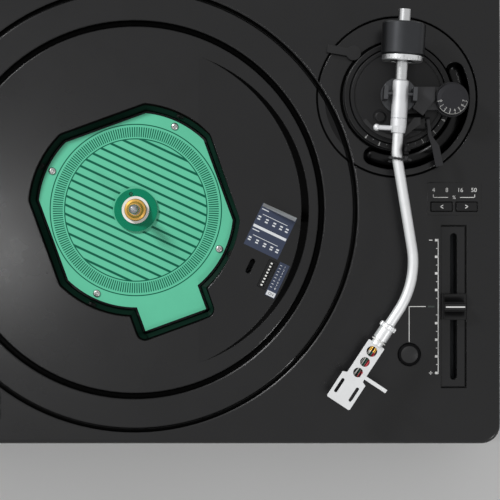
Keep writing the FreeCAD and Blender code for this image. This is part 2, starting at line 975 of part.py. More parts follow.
def scoop():
    """Return the finger channel that curls round the front of the tonearm base."""
    torus = new("Part::Torus", "scoop_channel")
    bind(torus, "Radius1", D.scoop_radius)
    bind(torus, "Radius2", D.scoop_section)
    bind(torus, "Angle3", D.scoop_end_angle)
    start = -D.scoop_start_angle
    put(torus, PIVOT_X, PIVOT_Y, DECK_TOP, Rotation(Vector(0, 0, 1), start.value))
    ends = []
    for number, angle in enumerate((start, start + D.scoop_end_angle)):
        x = PIVOT_X + D.scoop_radius * cosine(angle)
        y = PIVOT_Y + D.scoop_radius * sine(angle)
        ends.append(ball(f"scoop_end_{number}", D.scoop_section, x, y, DECK_TOP))
    return [torus] + ends


def pad_groove():
    """Return the fine groove round the tonearm's area, broken where the well passes."""
    half = D.pad_groove / 2
    circle = ring("pad_circle", D.pad_radius + half, D.pad_radius - half,
                  D.pad_groove_drop + LEVEL_GAP, PIVOT_X, PIVOT_Y, DECK_TOP - D.pad_groove_drop)
    well = drum("pad_well", D.rim_radius + D.rim_gap + D.pad_land, D.pad_groove_drop + 2 * LEVEL_GAP,
                SPINDLE_X, 0.0, DECK_TOP - D.pad_groove_drop - LEVEL_GAP / 2)
    return carve("pad_groove", circle, [well])


RANGE_CENTRES = {
    "left": RANGE_X - D.range_spacing / 2,
    "right": RANGE_X + D.range_spacing / 2,
}
SPEED_CENTRES = {
    "33": SPEED_Y - D.speed_spacing / 2,
    "45": SPEED_Y + D.speed_spacing / 2,
}


def round_slot(name, wide, long, tall):
    """Return an upright round-ended bar that runs along Y."""
    straight = long - wide
    middle = slab(f"{name}_middle", rectangle(wide, straight), tall)
    ends = [drum(f"{name}_end_{side:+d}", wide / 2, tall, 0.0, side * straight / 2) for side in (-1, 1)]
    return join(name, [middle] + ends)


def fader_cuts(through, low):
    """Return the fader's recess, the fine grooves round it and its round-ended slot."""
    half = D.fader_groove / 2
    side = D.fader_wide / 2 - half
    end = D.fader_long / 2 - half
    deep = D.fader_groove_drop
    floor = DECK_TOP - deep
    cuts = [
        block("fader_recess", D.fader_wide, D.fader_long, D.fader_recess + LEVEL_GAP, FADER_X, -D.fader_y,
              DECK_TOP - D.fader_recess),
        block("fader_side_groove", D.fader_groove, D.fader_long, deep, FADER_X + side, -D.fader_y, floor),
        put(round_slot("fader_slot", D.fader_slot_wide, D.fader_slot_long, through),
            FADER_X, -D.fader_y, low),
    ]
    for sign in (-1, 1):
        cuts.append(block(f"fader_end_groove_{sign:+d}", D.fader_wide, D.fader_groove, deep, FADER_X,
                          sign * end - D.fader_y, floor))
    return cuts


def button_hole(name, long, deep, x, y):
    """Return the hole in the deck for a rectangular button."""
    gap = D.free_gap
    tall = D.board_drop + 2 * LEVEL_GAP
    return block(name, long + 2 * gap, deep + 2 * gap, tall, x, y, CEILING - LEVEL_GAP)


def deck_openings():
    """Return the cuts for the controls and for the tonearm's column."""
    through = D.board_drop + 2 * LEVEL_GAP
    low = CEILING - LEVEL_GAP
    gap = D.free_gap
    cuts = [
        drum("column_hole", D.column_radius + gap, through, PIVOT_X, PIVOT_Y, low),
        ring("collar_gap", D.ring_outer + D.free_gap + D.collar_gap, D.ring_outer + D.free_gap,
             D.collar_gap_drop + LEVEL_GAP, PIVOT_X, PIVOT_Y, DECK_TOP - D.collar_gap_drop),
        drum("reset_hole", D.reset_radius + gap, through, RESET_X, -D.reset_y, low),
        drum("knob_hole", D.knob_shaft_radius + gap, through, KNOB_X, KNOB_Y, low),
        button_hole("start_hole", D.start_size, D.start_size, START_X, START_Y),
    ]
    cuts += fader_cuts(through, low)
    for side, x in RANGE_CENTRES.items():
        cuts.append(button_hole(f"range_hole_{side}", D.range_long, D.range_wide, x, D.range_y))
    for speed, y in SPEED_CENTRES.items():
        cuts.append(button_hole(f"speed_hole_{speed}", D.speed_long, D.speed_wide, SPEED_X, y))
    return cuts


def dip_pocket():
    """Return the pocket that holds the setup switch."""
    floor = on_terrace(D.dip_offset_x) - D.dip_tall
    pocket = new("Part::Box", "dip_pocket")
    bind(pocket, "Length", D.dip_wide)
    bind(pocket, "Width", D.dip_long)
    bind(pocket, "Height", D.dip_tall + 2 * LEVEL_GAP)
    centre_x = SPINDLE_X + D.dip_offset_x
    half_wide = D.dip_wide / 2
    half_long = D.dip_long / 2
    corner_x = centre_x - half_wide * cosine(D.dip_angle) - half_long * sine(D.dip_angle)
    corner_y = -D.dip_offset_y + half_wide * sine(D.dip_angle) - half_long * cosine(D.dip_angle)
    return put(pocket, corner_x, corner_y, floor, DIP_TURN)


def cable_slot():
    """Return the small round-ended slot beside the setup switch."""
    item = round_slot("cable_slot", D.slot_wide, D.slot_long, D.board_drop)
    return put(item, SPINDLE_X + D.slot_offset_x, -D.slot_offset_y, CEILING - LEVEL_GAP, DIP_TURN)


def screw_places():
    """Return the plan positions of the long housing screws."""
    side_x = D.plinth_long / 2 - D.screw_inset
    side_y = D.plinth_deep / 2 - D.screw_inset
    along_x = D.plinth_long / 2 - D.screw_from_side
    along_y = D.screw_spread_y
    places = []
    for sign in (-1, 1):
        for other in (-1, 1):
            places.append((sign * side_x, other * along_y))
            places.append((sign * along_x, other * side_y))
    return places


def screw_holes(name, radius, z, tall):
    """Return the holes for the long housing screws as one object."""
    holes = [drum(f"{name}_{number}", radius, tall, x, y, z) for number, (x, y) in enumerate(screw_places())]
    return join(name, holes)


def plinth_block(name, long, deep, tall, z, corner):
    """Return a block with the plinth's rounded plan."""
    return slab(name, rectangle(long, deep), tall, z=z, corner=corner)


def lock_place():
    """Return the plan position of the height lock's post."""
    return PIVOT_X + D.lock_reach * cosine(LOCK_ANGLE), PIVOT_Y + D.lock_reach * sine(LOCK_ANGLE)


def make_deck():
    """Make the upper shell with the record well, tonearm area and control panel."""
    shell = plinth_block("deck_block", D.plinth_long, D.plinth_deep, D.deck_tall, BASE_TOP, D.plinth_corner)
    round_body(shell, "deck_edge", D.deck_edge_round, lies_at(D.deck_tall))
    cavity = block("deck_cavity", D.plinth_long - 2 * D.side_wall, D.plinth_deep - 2 * D.side_wall,
                   D.deck_tall - D.board_drop + LEVEL_GAP, 0.0, 0.0, BASE_TOP - LEVEL_GAP)
    screws = screw_holes("deck_screw_holes", D.base_screw_radius, BASE_TOP - LEVEL_GAP,
                         D.base_screw_grip - D.base_tall + LEVEL_GAP)
    cuts = [cavity, screws] + well_cutters() + scoop() + [pad_groove()] + deck_openings()
    cuts += [dip_pocket(), cable_slot()]
    x, y = lock_place()
    post = drum("lock_post", D.lock_post_radius, D.free_gap + D.lock_post_rise + LEVEL_GAP, x, y,
                DECK_TOP - LEVEL_GAP)
    panel = slab("range_panel", rectangle(D.range_panel_long, D.range_panel_deep),
                 D.range_panel_rise + LEVEL_GAP, RANGE_X, D.range_panel_y, DECK_TOP - LEVEL_GAP,
                 corner=D.range_panel_corner)
    part(carve("deck_shell", join("deck_with_post", [shell, post, panel]), cuts))


def back_window(name, x, long, tall):
    """Return a window through the lower housing's back wall."""
    height = BASE_BOTTOM + D.base_tall / 2 - tall / 2
    return block(name, long, 2 * D.side_wall, tall, x, D.plinth_deep / 2, height)


def foot_places():
    """Return each foot's name and plan position."""
    x = D.plinth_long / 2 - D.foot_inset
    y = D.plinth_deep / 2 - D.foot_inset
    return {
        "front_left": (-x, -y),
        "front_right": (x, -y),
        "back_left": (-x, y),
        "back_right": (x, y),
    }


def make_base():
    """Make the lower housing, its cover plate and the screws that close the plinth."""
    outer = plinth_block("base_block", D.plinth_long, D.plinth_deep, D.base_tall, BASE_BOTTOM,
                         D.plinth_corner)
    round_body(outer, "base_edge", D.deck_edge_round, lies_at(0.0))
    long = D.plinth_long - 2 * D.side_wall
    deep = D.plinth_deep - 2 * D.side_wall
    cavity = block("base_cavity", long, deep, D.base_tall + 2 * LEVEL_GAP, 0.0, 0.0, BASE_BOTTOM - LEVEL_GAP)
    seam_outer = block("seam_outer", D.plinth_long + 2, D.plinth_deep + 2, D.seam_tall, 0.0, 0.0,
                       BASE_TOP - D.seam_tall)
    seam_core = plinth_block("seam_core", D.plinth_long - 2 * D.seam_inset, D.plinth_deep - 2 * D.seam_inset,
                             D.seam_tall, BASE_TOP - D.seam_tall, D.plinth_corner - D.seam_inset)
    seam = carve("seam", seam_outer, [seam_core])
    inset = D.cover_inset
    rebate = plinth_block("cover_rebate", D.plinth_long - 2 * inset, D.plinth_deep - 2 * inset,
                          D.cover_thick, BASE_BOTTOM, D.plinth_corner - inset)
    holes = screw_holes("base_screw_holes", D.base_screw_radius, BASE_BOTTOM, D.base_tall)
    windows = [
        back_window("panel_window", RIGHT_EDGE - D.panel_side_inset, D.panel_long, D.panel_tall),
        back_window("inlet_window", LEFT_EDGE + D.inlet_side_inset, D.inlet_long, D.inlet_tall),
    ]
    walls = carve("base_walls", outer, [cavity, seam, rebate, holes] + windows)
    bosses = []
    bores = []
    for place, (x, y) in foot_places().items():
        boss_tall = D.base_tall - D.cover_thick
        bosses.append(block(f"foot_boss_{place}", D.foot_boss, D.foot_boss, boss_tall, x, y,
                            BASE_BOTTOM + D.cover_thick))
        bores.append(drum(f"foot_bore_{place}", D.foot_stud_radius + D.running_gap,
                          D.foot_stud_grip + D.foot_bore_spare, x, y, BASE_BOTTOM))
    whole = join("base_with_bosses", [walls] + bosses)
    part(carve("base_housing", whole, bores + [screw_holes("boss_screw_holes", D.base_screw_radius,
                                                           BASE_BOTTOM, D.base_tall)]))

    plate = plinth_block("cover_plate", D.plinth_long - 2 * D.cover_inset, D.plinth_deep - 2 * D.cover_inset,
                         D.cover_thick, BASE_BOTTOM, D.plinth_corner - D.cover_inset)
    passages = [
        drum(f"cover_foot_hole_{place}", D.foot_stud_radius + D.free_gap, D.cover_thick, x, y, BASE_BOTTOM)
        for place, (x, y) in foot_places().items()
    ]
    passages.append(screw_holes("cover_screw_holes", D.base_screw_radius, BASE_BOTTOM, D.cover_thick))
    part(carve("bottom_cover", plate, passages))

    screws = []
    for number, (x, y) in enumerate(screw_places()):
        head = drum(f"base_screw_head_{number}", D.screw_head_radius, D.screw_head_tall, x, y,
                    BASE_BOTTOM - D.screw_head_tall)
        shank = drum(f"base_screw_shank_{number}", D.base_screw_radius, D.base_screw_grip, x, y, BASE_BOTTOM)
        screws.append(join(f"base_screw_{number}", [head, shank]))
    part(group("base_screws", screws))


def make_feet():
    """Make the four screw-in feet."""
    pad = D.foot_radius
    sole = pad - D.foot_sole_inset
    low = D.foot_tall - D.foot_shoulder_drop
    high = low + D.foot_shoulder_tall
    for place, (x, y) in foot_places().items():
        profile = [
            (0.0, 0.0),
            (sole, 0.0),
            (sole, D.foot_sole_tall),
            (pad, D.foot_pad_low),
            (pad, low),
            (pad - D.foot_shoulder_inset, high),
            (D.foot_collar_radius, high),
            (D.foot_collar_radius, D.foot_tall),
            (D.foot_stud_radius, D.foot_tall),
            (D.foot_stud_radius, D.foot_tall + D.foot_stud_grip),
            (0.0, D.foot_tall + D.foot_stud_grip),
        ]
        part(turned(f"foot_{place}", profile, x, y))


def around(reach, angle):
    """Return the plan position at a reach and angle from the spindle."""
    return SPINDLE_X + reach * cosine(angle), reach * sine(angle)


def make_motor():
    """Make the motor board, its screws, the coils and the steel bracket that carries them."""
    coil_bottom = CEILING - D.board_thick - D.coil_tall
    plate = drum("bracket_plate", HANGER_REACH + D.bracket_margin, D.bracket_thick, SPINDLE_X, 0.0,
                 coil_bottom - D.bracket_thick)
    posts = []
    screws = []
    screw_bores = []
    standoff = D.coil_tall
    for number, angle in enumerate(QUARTER_ANGLES):
        x, y = around(HANGER_REACH, angle)
        hanger_tall = D.coil_tall + D.board_thick
        posts.append(drum(f"hanger_{number}", D.hanger_radius, hanger_tall, x, y, coil_bottom))
        x, y = around(BOARD_SCREW_REACH, angle)
        posts.append(drum(f"standoff_{number}", 2 * D.board_screw_radius, standoff, x, y, coil_bottom))
        shank_long = D.board_thick + standoff
        shank = drum(f"board_screw_shank_{number}", D.board_screw_radius, shank_long, x, y, coil_bottom)
        head = drum(f"board_screw_head_{number}", D.screw_head_radius, D.screw_head_tall, x, y, CEILING)
        screws.append(join(f"board_screw_{number}", [shank, head]))
        screw_bores.append(drum(f"standoff_bore_{number}", D.board_screw_radius, shank_long, x, y,
                                coil_bottom))
    bearing_hole = drum("bracket_bearing_hole", D.bearing_radius, 2 * D.bracket_thick, SPINDLE_X, 0.0,
                        coil_bottom - 1.5 * D.bracket_thick)
    part(carve("motor_bracket", join("bracket_frame", [plate] + posts), [bearing_hole] + screw_bores))
    part(group("board_screws", screws))

    points, bulges = board_outline()
    board = slab("board_blank", points, D.board_thick, SPINDLE_X, 0.0, CEILING - D.board_thick, bulges,
                 BOARD_TURN)
    holes = [drum("board_bearing_hole", D.bearing_radius, 2 * D.board_thick, SPINDLE_X, 0.0,
                  CEILING - 1.5 * D.board_thick)]
    for number, angle in enumerate(QUARTER_ANGLES):
        x, y = around(BOARD_SCREW_REACH, angle)
        holes.append(drum(f"board_screw_hole_{number}", D.board_screw_radius, 2 * D.board_thick, x, y,
                          CEILING - 1.5 * D.board_thick))
    part(carve("motor_board", board, holes))

    coils = []
    count = round(D.coil_count.value)
    for number in range(count):
        x, y = around(D.coil_reach, D.board_turn + 360.0 / count * number)
        coils.append(ring(f"coil_{number}", D.coil_radius, D.coil_bore, D.coil_tall, x, y, coil_bottom))
    part(group("stator_coils", coils))


def make_bearing():
    """Make the spindle bearing, the disc and ring round it, the platter seat and the spindle."""
    shaft_bore = D.journal_radius + D.running_gap
    bottom = -D.bearing_deep
    profile = [
        (0.0, bottom),
        (D.bearing_radius, bottom),
        (D.bearing_radius, 0.0),
        (shaft_bore, 0.0),
        (shaft_bore, bottom + D.bearing_floor),
        (0.0, bottom + D.bearing_floor),
    ]
    part(turned("bearing_housing", profile, SPINDLE_X, 0.0, CEILING))

    disc = ring("centre_disc_blank", D.centre_disc_radius, shaft_bore + D.free_gap, D.centre_disc_tall,
                SPINDLE_X, 0.0, CEILING)
    notch_x, notch_y = around(D.centre_disc_radius - D.disc_notch_inset, D.board_turn + D.disc_notch_angle)
    notch = drum("centre_disc_notch", D.disc_notch_radius, D.centre_disc_tall, notch_x, notch_y, CEILING)
    part(carve("centre_disc", disc, [notch]))

    spacer_z = CEILING + D.centre_disc_tall
    part(ring("spacer_ring", D.spacer_radius, D.hub_radius + D.free_gap, D.spacer_tall, SPINDLE_X, 0.0,
              spacer_z))

    seat = D.free_gap
    waist = D.hub_radius - D.hub_waist
    profile = [
        (D.journal_radius, seat),
        (waist, seat),
        (waist, D.spacer_tall + D.free_gap),
        (D.hub_radius, D.spacer_tall + D.free_gap),
        (D.hub_radius, D.hub_step),
        (D.hub_neck_radius, D.hub_step + D.hub_neck_rise),
        (D.hub_top_radius, D.hub_tall - D.hub_top_round),
        (D.hub_top_radius - D.hub_top_round, D.hub_tall),
        (D.journal_radius, D.hub_tall),
    ]
    part(turned("platter_hub", profile, SPINDLE_X, 0.0, spacer_z))

    tip = D.board_drop + D.spindle_above_deck
    point = D.spindle_radius - 1.5
    shoulder = D.centre_disc_tall + D.hub_tall
    profile = [
        (0.0, bottom + D.bearing_floor + D.running_gap),
        (D.journal_radius, bottom + D.bearing_floor + D.running_gap),
        (D.journal_radius, shoulder),
        (D.spindle_radius - D.spindle_relief, shoulder),
        (D.spindle_radius - D.spindle_relief, shoulder + D.free_gap),
        (D.spindle_radius, shoulder + D.free_gap),
        (D.spindle_radius, tip - 3.0),
        (D.spindle_radius - 0.4, tip - 1.4),
        (point, tip - 0.3),
        (point - 1.0, tip),
        (0.0, tip),
    ]
    part(turned("spindle_shaft", profile, SPINDLE_X, 0.0, CEILING))


def make_setup_switch():
    """Make the setup switch in its pocket, its eight sliders and the plain labels."""
    centre_x = SPINDLE_X + D.dip_offset_x
    floor = on_terrace(D.dip_offset_x) - D.dip_tall
    channel_long = D.dip_travel + D.dip_slider_long + D.free_gap
    body = slab("dip_block", rectangle(D.dip_wide, D.dip_long), D.dip_tall)
    count = round(D.dip_count.value)
    channels = []
    sliders = []
    for number in range(count):
        along = D.dip_pitch * (number - (count - 1) / 2)
        channels.append(block(f"dip_channel_{number}", channel_long, D.dip_slider_wide + D.free_gap / 2,
                              D.dip_tall / 2, 0.0, along, D.dip_tall / 2))
        slider_x = -D.dip_travel / 2
        sliders.append(block(f"dip_slider_{number}", D.dip_slider_long, D.dip_slider_wide,
                             D.dip_tall / 2 - D.free_gap / 2 + D.dip_above, slider_x, along,
                             D.dip_tall / 2 + D.free_gap / 2))
    switch = carve("dip_switch_body", body, channels)
    part(put(switch, centre_x, -D.dip_offset_y, floor, DIP_TURN))
    part(put(group("dip_sliders", sliders), centre_x, -D.dip_offset_y, floor, DIP_TURN))

    label = slab("label_sheet", rectangle(D.label_wide, D.label_long), D.label_thick, rotation=None)
    tilted = TERRACE_TILT.multiply(DIP_TURN)
    put(label, SPINDLE_X + D.label_offset_x, -D.label_offset_y, on_terrace(D.label_offset_x), tilted)
    strip = slab("label_strip", rectangle(D.strip_wide, D.strip_long), D.label_thick)
    put(strip, SPINDLE_X + D.strip_offset_x, -D.strip_offset_y, on_terrace(D.strip_offset_x), tilted)
    part(group("deck_labels", [label, strip]))


def make_fader():
    """Make the pitch fader's cap with its stem, and the track below the deck."""
    skirt = block("fader_skirt", D.fader_cap_wide, D.fader_cap_long, D.fader_skirt_tall, 0.0, 0.0, 0.0)
    end = D.fader_cap_long / 2
    bevel = D.fader_end_round
    tip = D.fader_ridge_round
    half = [
        (0.0, end),
        (D.fader_end_tall - bevel, end),
        (D.fader_end_tall, end - bevel),
        (D.fader_valley_tall, D.fader_valley_half),
        (D.fader_valley_tall, D.fader_ridge_foot),
        (D.fader_ridge_tall - tip, D.fader_ridge_half),
        (D.fader_ridge_tall, D.fader_ridge_half - tip),
    ]
    outline = [(-height, along) for height, along in half]
    outline += [(-height, -along) for height, along in half[::-1]]
    body = slab("fader_body", outline, D.fader_body_wide, -D.fader_body_wide / 2, rotation=LENGTHWAYS)
    stem_long = D.board_drop + D.fader_track_tall / 2
    stem = block("fader_stem", D.fader_stem_wide, D.fader_stem_long, stem_long + D.sink, 0.0, 0.0,
                 -stem_long)
    part(put(join("fader_cap", [skirt, body, stem]), FADER_X, -D.fader_y, DECK_TOP + D.free_gap))

    long = D.fader_slot_long + D.side_wall
    case = block("fader_case", D.fader_track_wide, long, D.fader_track_tall, FADER_X, -D.fader_y,
                 CEILING - D.fader_track_tall)
    lane = block("fader_lane", D.fader_slot_wide, D.fader_slot_long, D.fader_track_tall, FADER_X, -D.fader_y,
                 CEILING - D.fader_track_tall + 1.5)
    part(carve("fader_track", case, [lane]))


def pressed_button(name, long, deep, x, y, corner):
    """Make a rectangular push button with the flange that keeps it under the deck."""
    top = D.button_rise + D.board_drop
    cap = slab(name + "_cap", rectangle(long, deep), top, corner=corner)
    round_body(cap, name + "_edge", 0.6, lies_at(top))
    lip = 2 * D.button_lip
    flange = block(name + "_flange", long + lip, deep + lip, D.button_flange, 0.0, 0.0,
                   -D.button_flange - D.free_gap)
    link = block(name + "_link", long - lip, deep - lip, D.free_gap + D.sink, 0.0, 0.0, -D.free_gap)
    part(put(join(name, [cap, flange, link]), x, y, CEILING))


def make_buttons():
    """Make every push button and the power knob."""
    for side, x in RANGE_CENTRES.items():
        pressed_button(f"range_button_{side}", D.range_long, D.range_wide, x, D.range_y, 0.8)
    for speed, y in SPEED_CENTRES.items():
        pressed_button(f"speed_button_{speed}", D.speed_long, D.speed_wide, SPEED_X, y, 1.5)
    pressed_button("start_stop_button", D.start_size, D.start_size, START_X, START_Y, 3.0)

    top = D.board_drop + D.button_rise
    profile = [
        (0.0, -D.button_flange - D.free_gap),
        (D.reset_radius + D.reset_flange, -D.button_flange - D.free_gap),
        (D.reset_radius + D.reset_flange, -D.free_gap),
        (D.reset_radius, -D.free_gap),
        (D.reset_radius, top - D.reset_edge),
        (D.reset_radius * D.dome_shoulder_wide, top + D.reset_dome * D.dome_shoulder_rise),
        (D.reset_radius * D.dome_crown_wide, top + D.reset_dome * D.dome_crown_rise),
        (0.0, top + D.reset_dome),
    ]
    part(turned("reset_button", profile, RESET_X, -D.reset_y, CEILING))

    shaft = D.board_drop + D.free_gap
    profile = [
        (0.0, -D.button_flange - D.free_gap),
        (D.knob_shaft_radius + D.knob_flange, -D.button_flange - D.free_gap),
        (D.knob_shaft_radius + D.knob_flange, -D.free_gap),
        (D.knob_shaft_radius, -D.free_gap),
        (D.knob_shaft_radius, shaft),
        (D.knob_radius, shaft),
        (D.knob_radius, shaft + D.knob_tall - D.knob_round),
        (D.knob_radius - D.knob_round, shaft + D.knob_tall),
        (0.0, shaft + D.knob_tall),
    ]
    knob = turned("knob_blank", profile, 0.0, 0.0, 0.0)
    mark = block("knob_mark", D.knob_mark_wide, D.knob_radius, 2 * D.knob_mark_deep, 0.0,
                 D.knob_radius / 2 + D.knob_mark_wide, shaft + D.knob_tall - D.knob_mark_deep)
    part(put(carve("power_knob", knob, [mark]), KNOB_X, KNOB_Y, CEILING))


def make_arm_base():
    """Make the fixed tonearm mount, the height ring, the platform and the height lock."""
    flange = ring("mount_flange", D.mount_radius, D.column_bore, D.mount_tall, PIVOT_X, PIVOT_Y, DECK_TOP)
    column = ring("mount_column", D.column_radius, D.column_bore, D.board_drop + D.column_rise,
                  PIVOT_X, PIVOT_Y, CEILING)
    part(join("arm_mount_base", [flange, column]))

    outer = ring("ring_body", D.ring_outer, D.ring_inner, D.ring_top - D.free_gap, PIVOT_X, PIVOT_Y,
                 DECK_TOP + D.free_gap)
    part(soften("height_ring", outer, 0.8, lambda edge: lies_at(DECK_TOP + D.ring_top)(edge)))

    disc_bottom = D.platform_top - D.platform_thick
    sleeve_bottom = disc_bottom - D.platform_sleeve
    column_gap = D.column_radius + D.running_gap
    cap_bottom = D.column_rise + D.free_gap
    tube_outer = D.column_bore - D.free_gap
    shaft_bore = D.yaw_shaft_radius + D.running_gap
    tube_bottom = D.platform_top + D.boss_tall - D.yaw_shaft_long - D.sleeve_below_shaft
    boss_top = D.platform_top + D.boss_tall
    rim = D.ring_inner - D.free_gap
    profile = [
        (shaft_bore, tube_bottom),
        (tube_outer, tube_bottom),
        (tube_outer, cap_bottom),
        (column_gap, cap_bottom),
        (column_gap, sleeve_bottom),
        (column_gap + D.sleeve_flange, sleeve_bottom),
        (column_gap + D.sleeve_flange, disc_bottom),
        (rim, disc_bottom),
        (rim, D.platform_top - D.platform_chamfer),
        (rim - D.platform_chamfer, D.platform_top),
        (D.platform_groove_radius + D.platform_groove_wide, D.platform_top),
        (D.platform_groove_radius + D.platform_groove_wide, D.platform_top - D.platform_groove_drop),
        (D.platform_groove_radius, D.platform_top - D.platform_groove_drop),
        (D.platform_groove_radius, D.platform_top),
        (D.boss_radius, D.platform_top),
        (D.boss_radius, boss_top),
        (shaft_bore, boss_top),
    ]
    disc = turned("platform_disc", profile)
    rod_hole = drum("platform_rod_hole", D.lifter_rod_radius + D.free_gap, 2 * D.platform_thick,
                    D.lifter_x, -D.lifter_y, D.platform_top - D.platform_thick - D.platform_sleeve / 2)
    well_floor = D.platform_top - D.adjuster_well_deep
    adjuster_well = drum("adjuster_well", D.adjuster_well_radius, 2 * D.adjuster_well_deep,
                         -D.adjuster_x, -D.adjuster_y, well_floor)
    adjuster = drum("adjuster_stud", D.adjuster_radius, D.adjuster_well_deep + D.adjuster_rise,
                    -D.adjuster_x, -D.adjuster_y, well_floor)
    adjuster = soften("adjuster_soft", adjuster, D.adjuster_round, lies_at(D.platform_top + D.adjuster_rise))
    platform = join("arm_platform", [carve("platform_cut", disc, [rod_hole, adjuster_well]), adjuster])
    part(put(platform, PIVOT_X, PIVOT_Y, DECK_TOP))

    hub = drum("lock_hub", D.lock_radius, D.lock_tall, 0.0, 0.0, 0.0)
    blade = block("lock_blade", D.lock_long, D.lock_wide, D.lock_tall / 2, D.lock_long / 2, 0.0,
                  D.lock_tall / 2)
    blade = soften("lock_blade_soft", blade, 1.0, is_upright)
    bore = drum("lock_bore", D.lock_post_radius + D.running_gap, D.lock_post_rise + D.running_gap)
    lever = carve("height_lock_lever", join("lock_lever_body", [hub, blade]), [bore])
    x, y = lock_place()
    part(put(lever, x, y, DECK_TOP + D.free_gap, Rotation(Vector(0, 0, 1), LOCK_HEADING)))


def about_pivot(item, z, rotation=None):
    """Place an object in the tonearm platform's frame, at a height."""
    return put(item, PIVOT_X, PIVOT_Y, z, rotation)


def make_anti_skating():
    """Make the anti-skating housing with its bracket, and the dial on top."""
    cup = drum("skate_cup", D.skate_cup_radius, D.skate_base_tall + D.skate_cup_above, D.skate_x,
               -D.skate_y, 0.0)
    outline = [
        (D.yoke_radius - D.skate_wing_under, D.skate_wing_back),
        (D.skate_x - D.skate_wing_start, D.skate_wing_back),
        (D.skate_x - D.skate_wing_start, -D.skate_wing_front),
        (D.yoke_radius - D.skate_wing_under, -D.skate_wing_front),
    ]
    wing = slab("skate_wing", outline, D.skate_base_tall + D.skate_plate_gap)
    plate = slab("skate_plate", [
        (D.yoke_radius - D.skate_wing_under, D.skate_wing_back),
        (D.skate_x - D.skate_cup_radius + D.skate_plate_in, D.skate_wing_back),
        (D.skate_x - D.skate_cup_radius + D.skate_plate_corner, -D.skate_y - D.skate_plate_in),
        (D.skate_point_x, -D.skate_point_y),
        (D.yoke_radius - D.skate_plate_start, -D.skate_point_y + D.skate_plate_slope),
        (D.yoke_radius - D.skate_plate_start, 0.0),
    ], D.skate_plate_thick, z=D.skate_base_tall + D.skate_plate_gap - D.skate_plate_sink)
    stud = drum("skate_stud", D.skate_stud_radius,
                D.skate_base_tall + D.skate_dial_tall - D.skate_stud_below, D.skate_x, -D.skate_y, 0.0)
    clear = drum("skate_yoke_clear", D.yoke_radius + D.free_gap, 3 * D.skate_base_tall, 0.0, 0.0,
                 -D.skate_base_tall)
    housing = carve("anti_skate_housing", join("skate_body", [cup, wing, plate, stud]), [clear])
    part(about_pivot(housing, PLATFORM_TOP))

    bottom = D.skate_base_tall + D.skate_cup_above + D.free_gap
    bore = D.skate_stud_radius + D.running_gap
    profile = [
        (bore, 0.0),
        (D.skate_radius, 0.0),
        (D.skate_radius, D.skate_dial_tall - 1.6),
        (D.skate_radius - 1.2, D.skate_dial_tall - 0.4),
        (D.skate_radius - 4.0, D.skate_dial_tall),
        (0.0, D.skate_dial_tall),
        (0.0, D.skate_dial_tall - 1.6),
        (bore, D.skate_dial_tall - 1.6),
    ]
    part(turned("anti_skate_dial", profile, PIVOT_X + D.skate_x, PIVOT_Y - D.skate_y, PLATFORM_TOP + bottom))


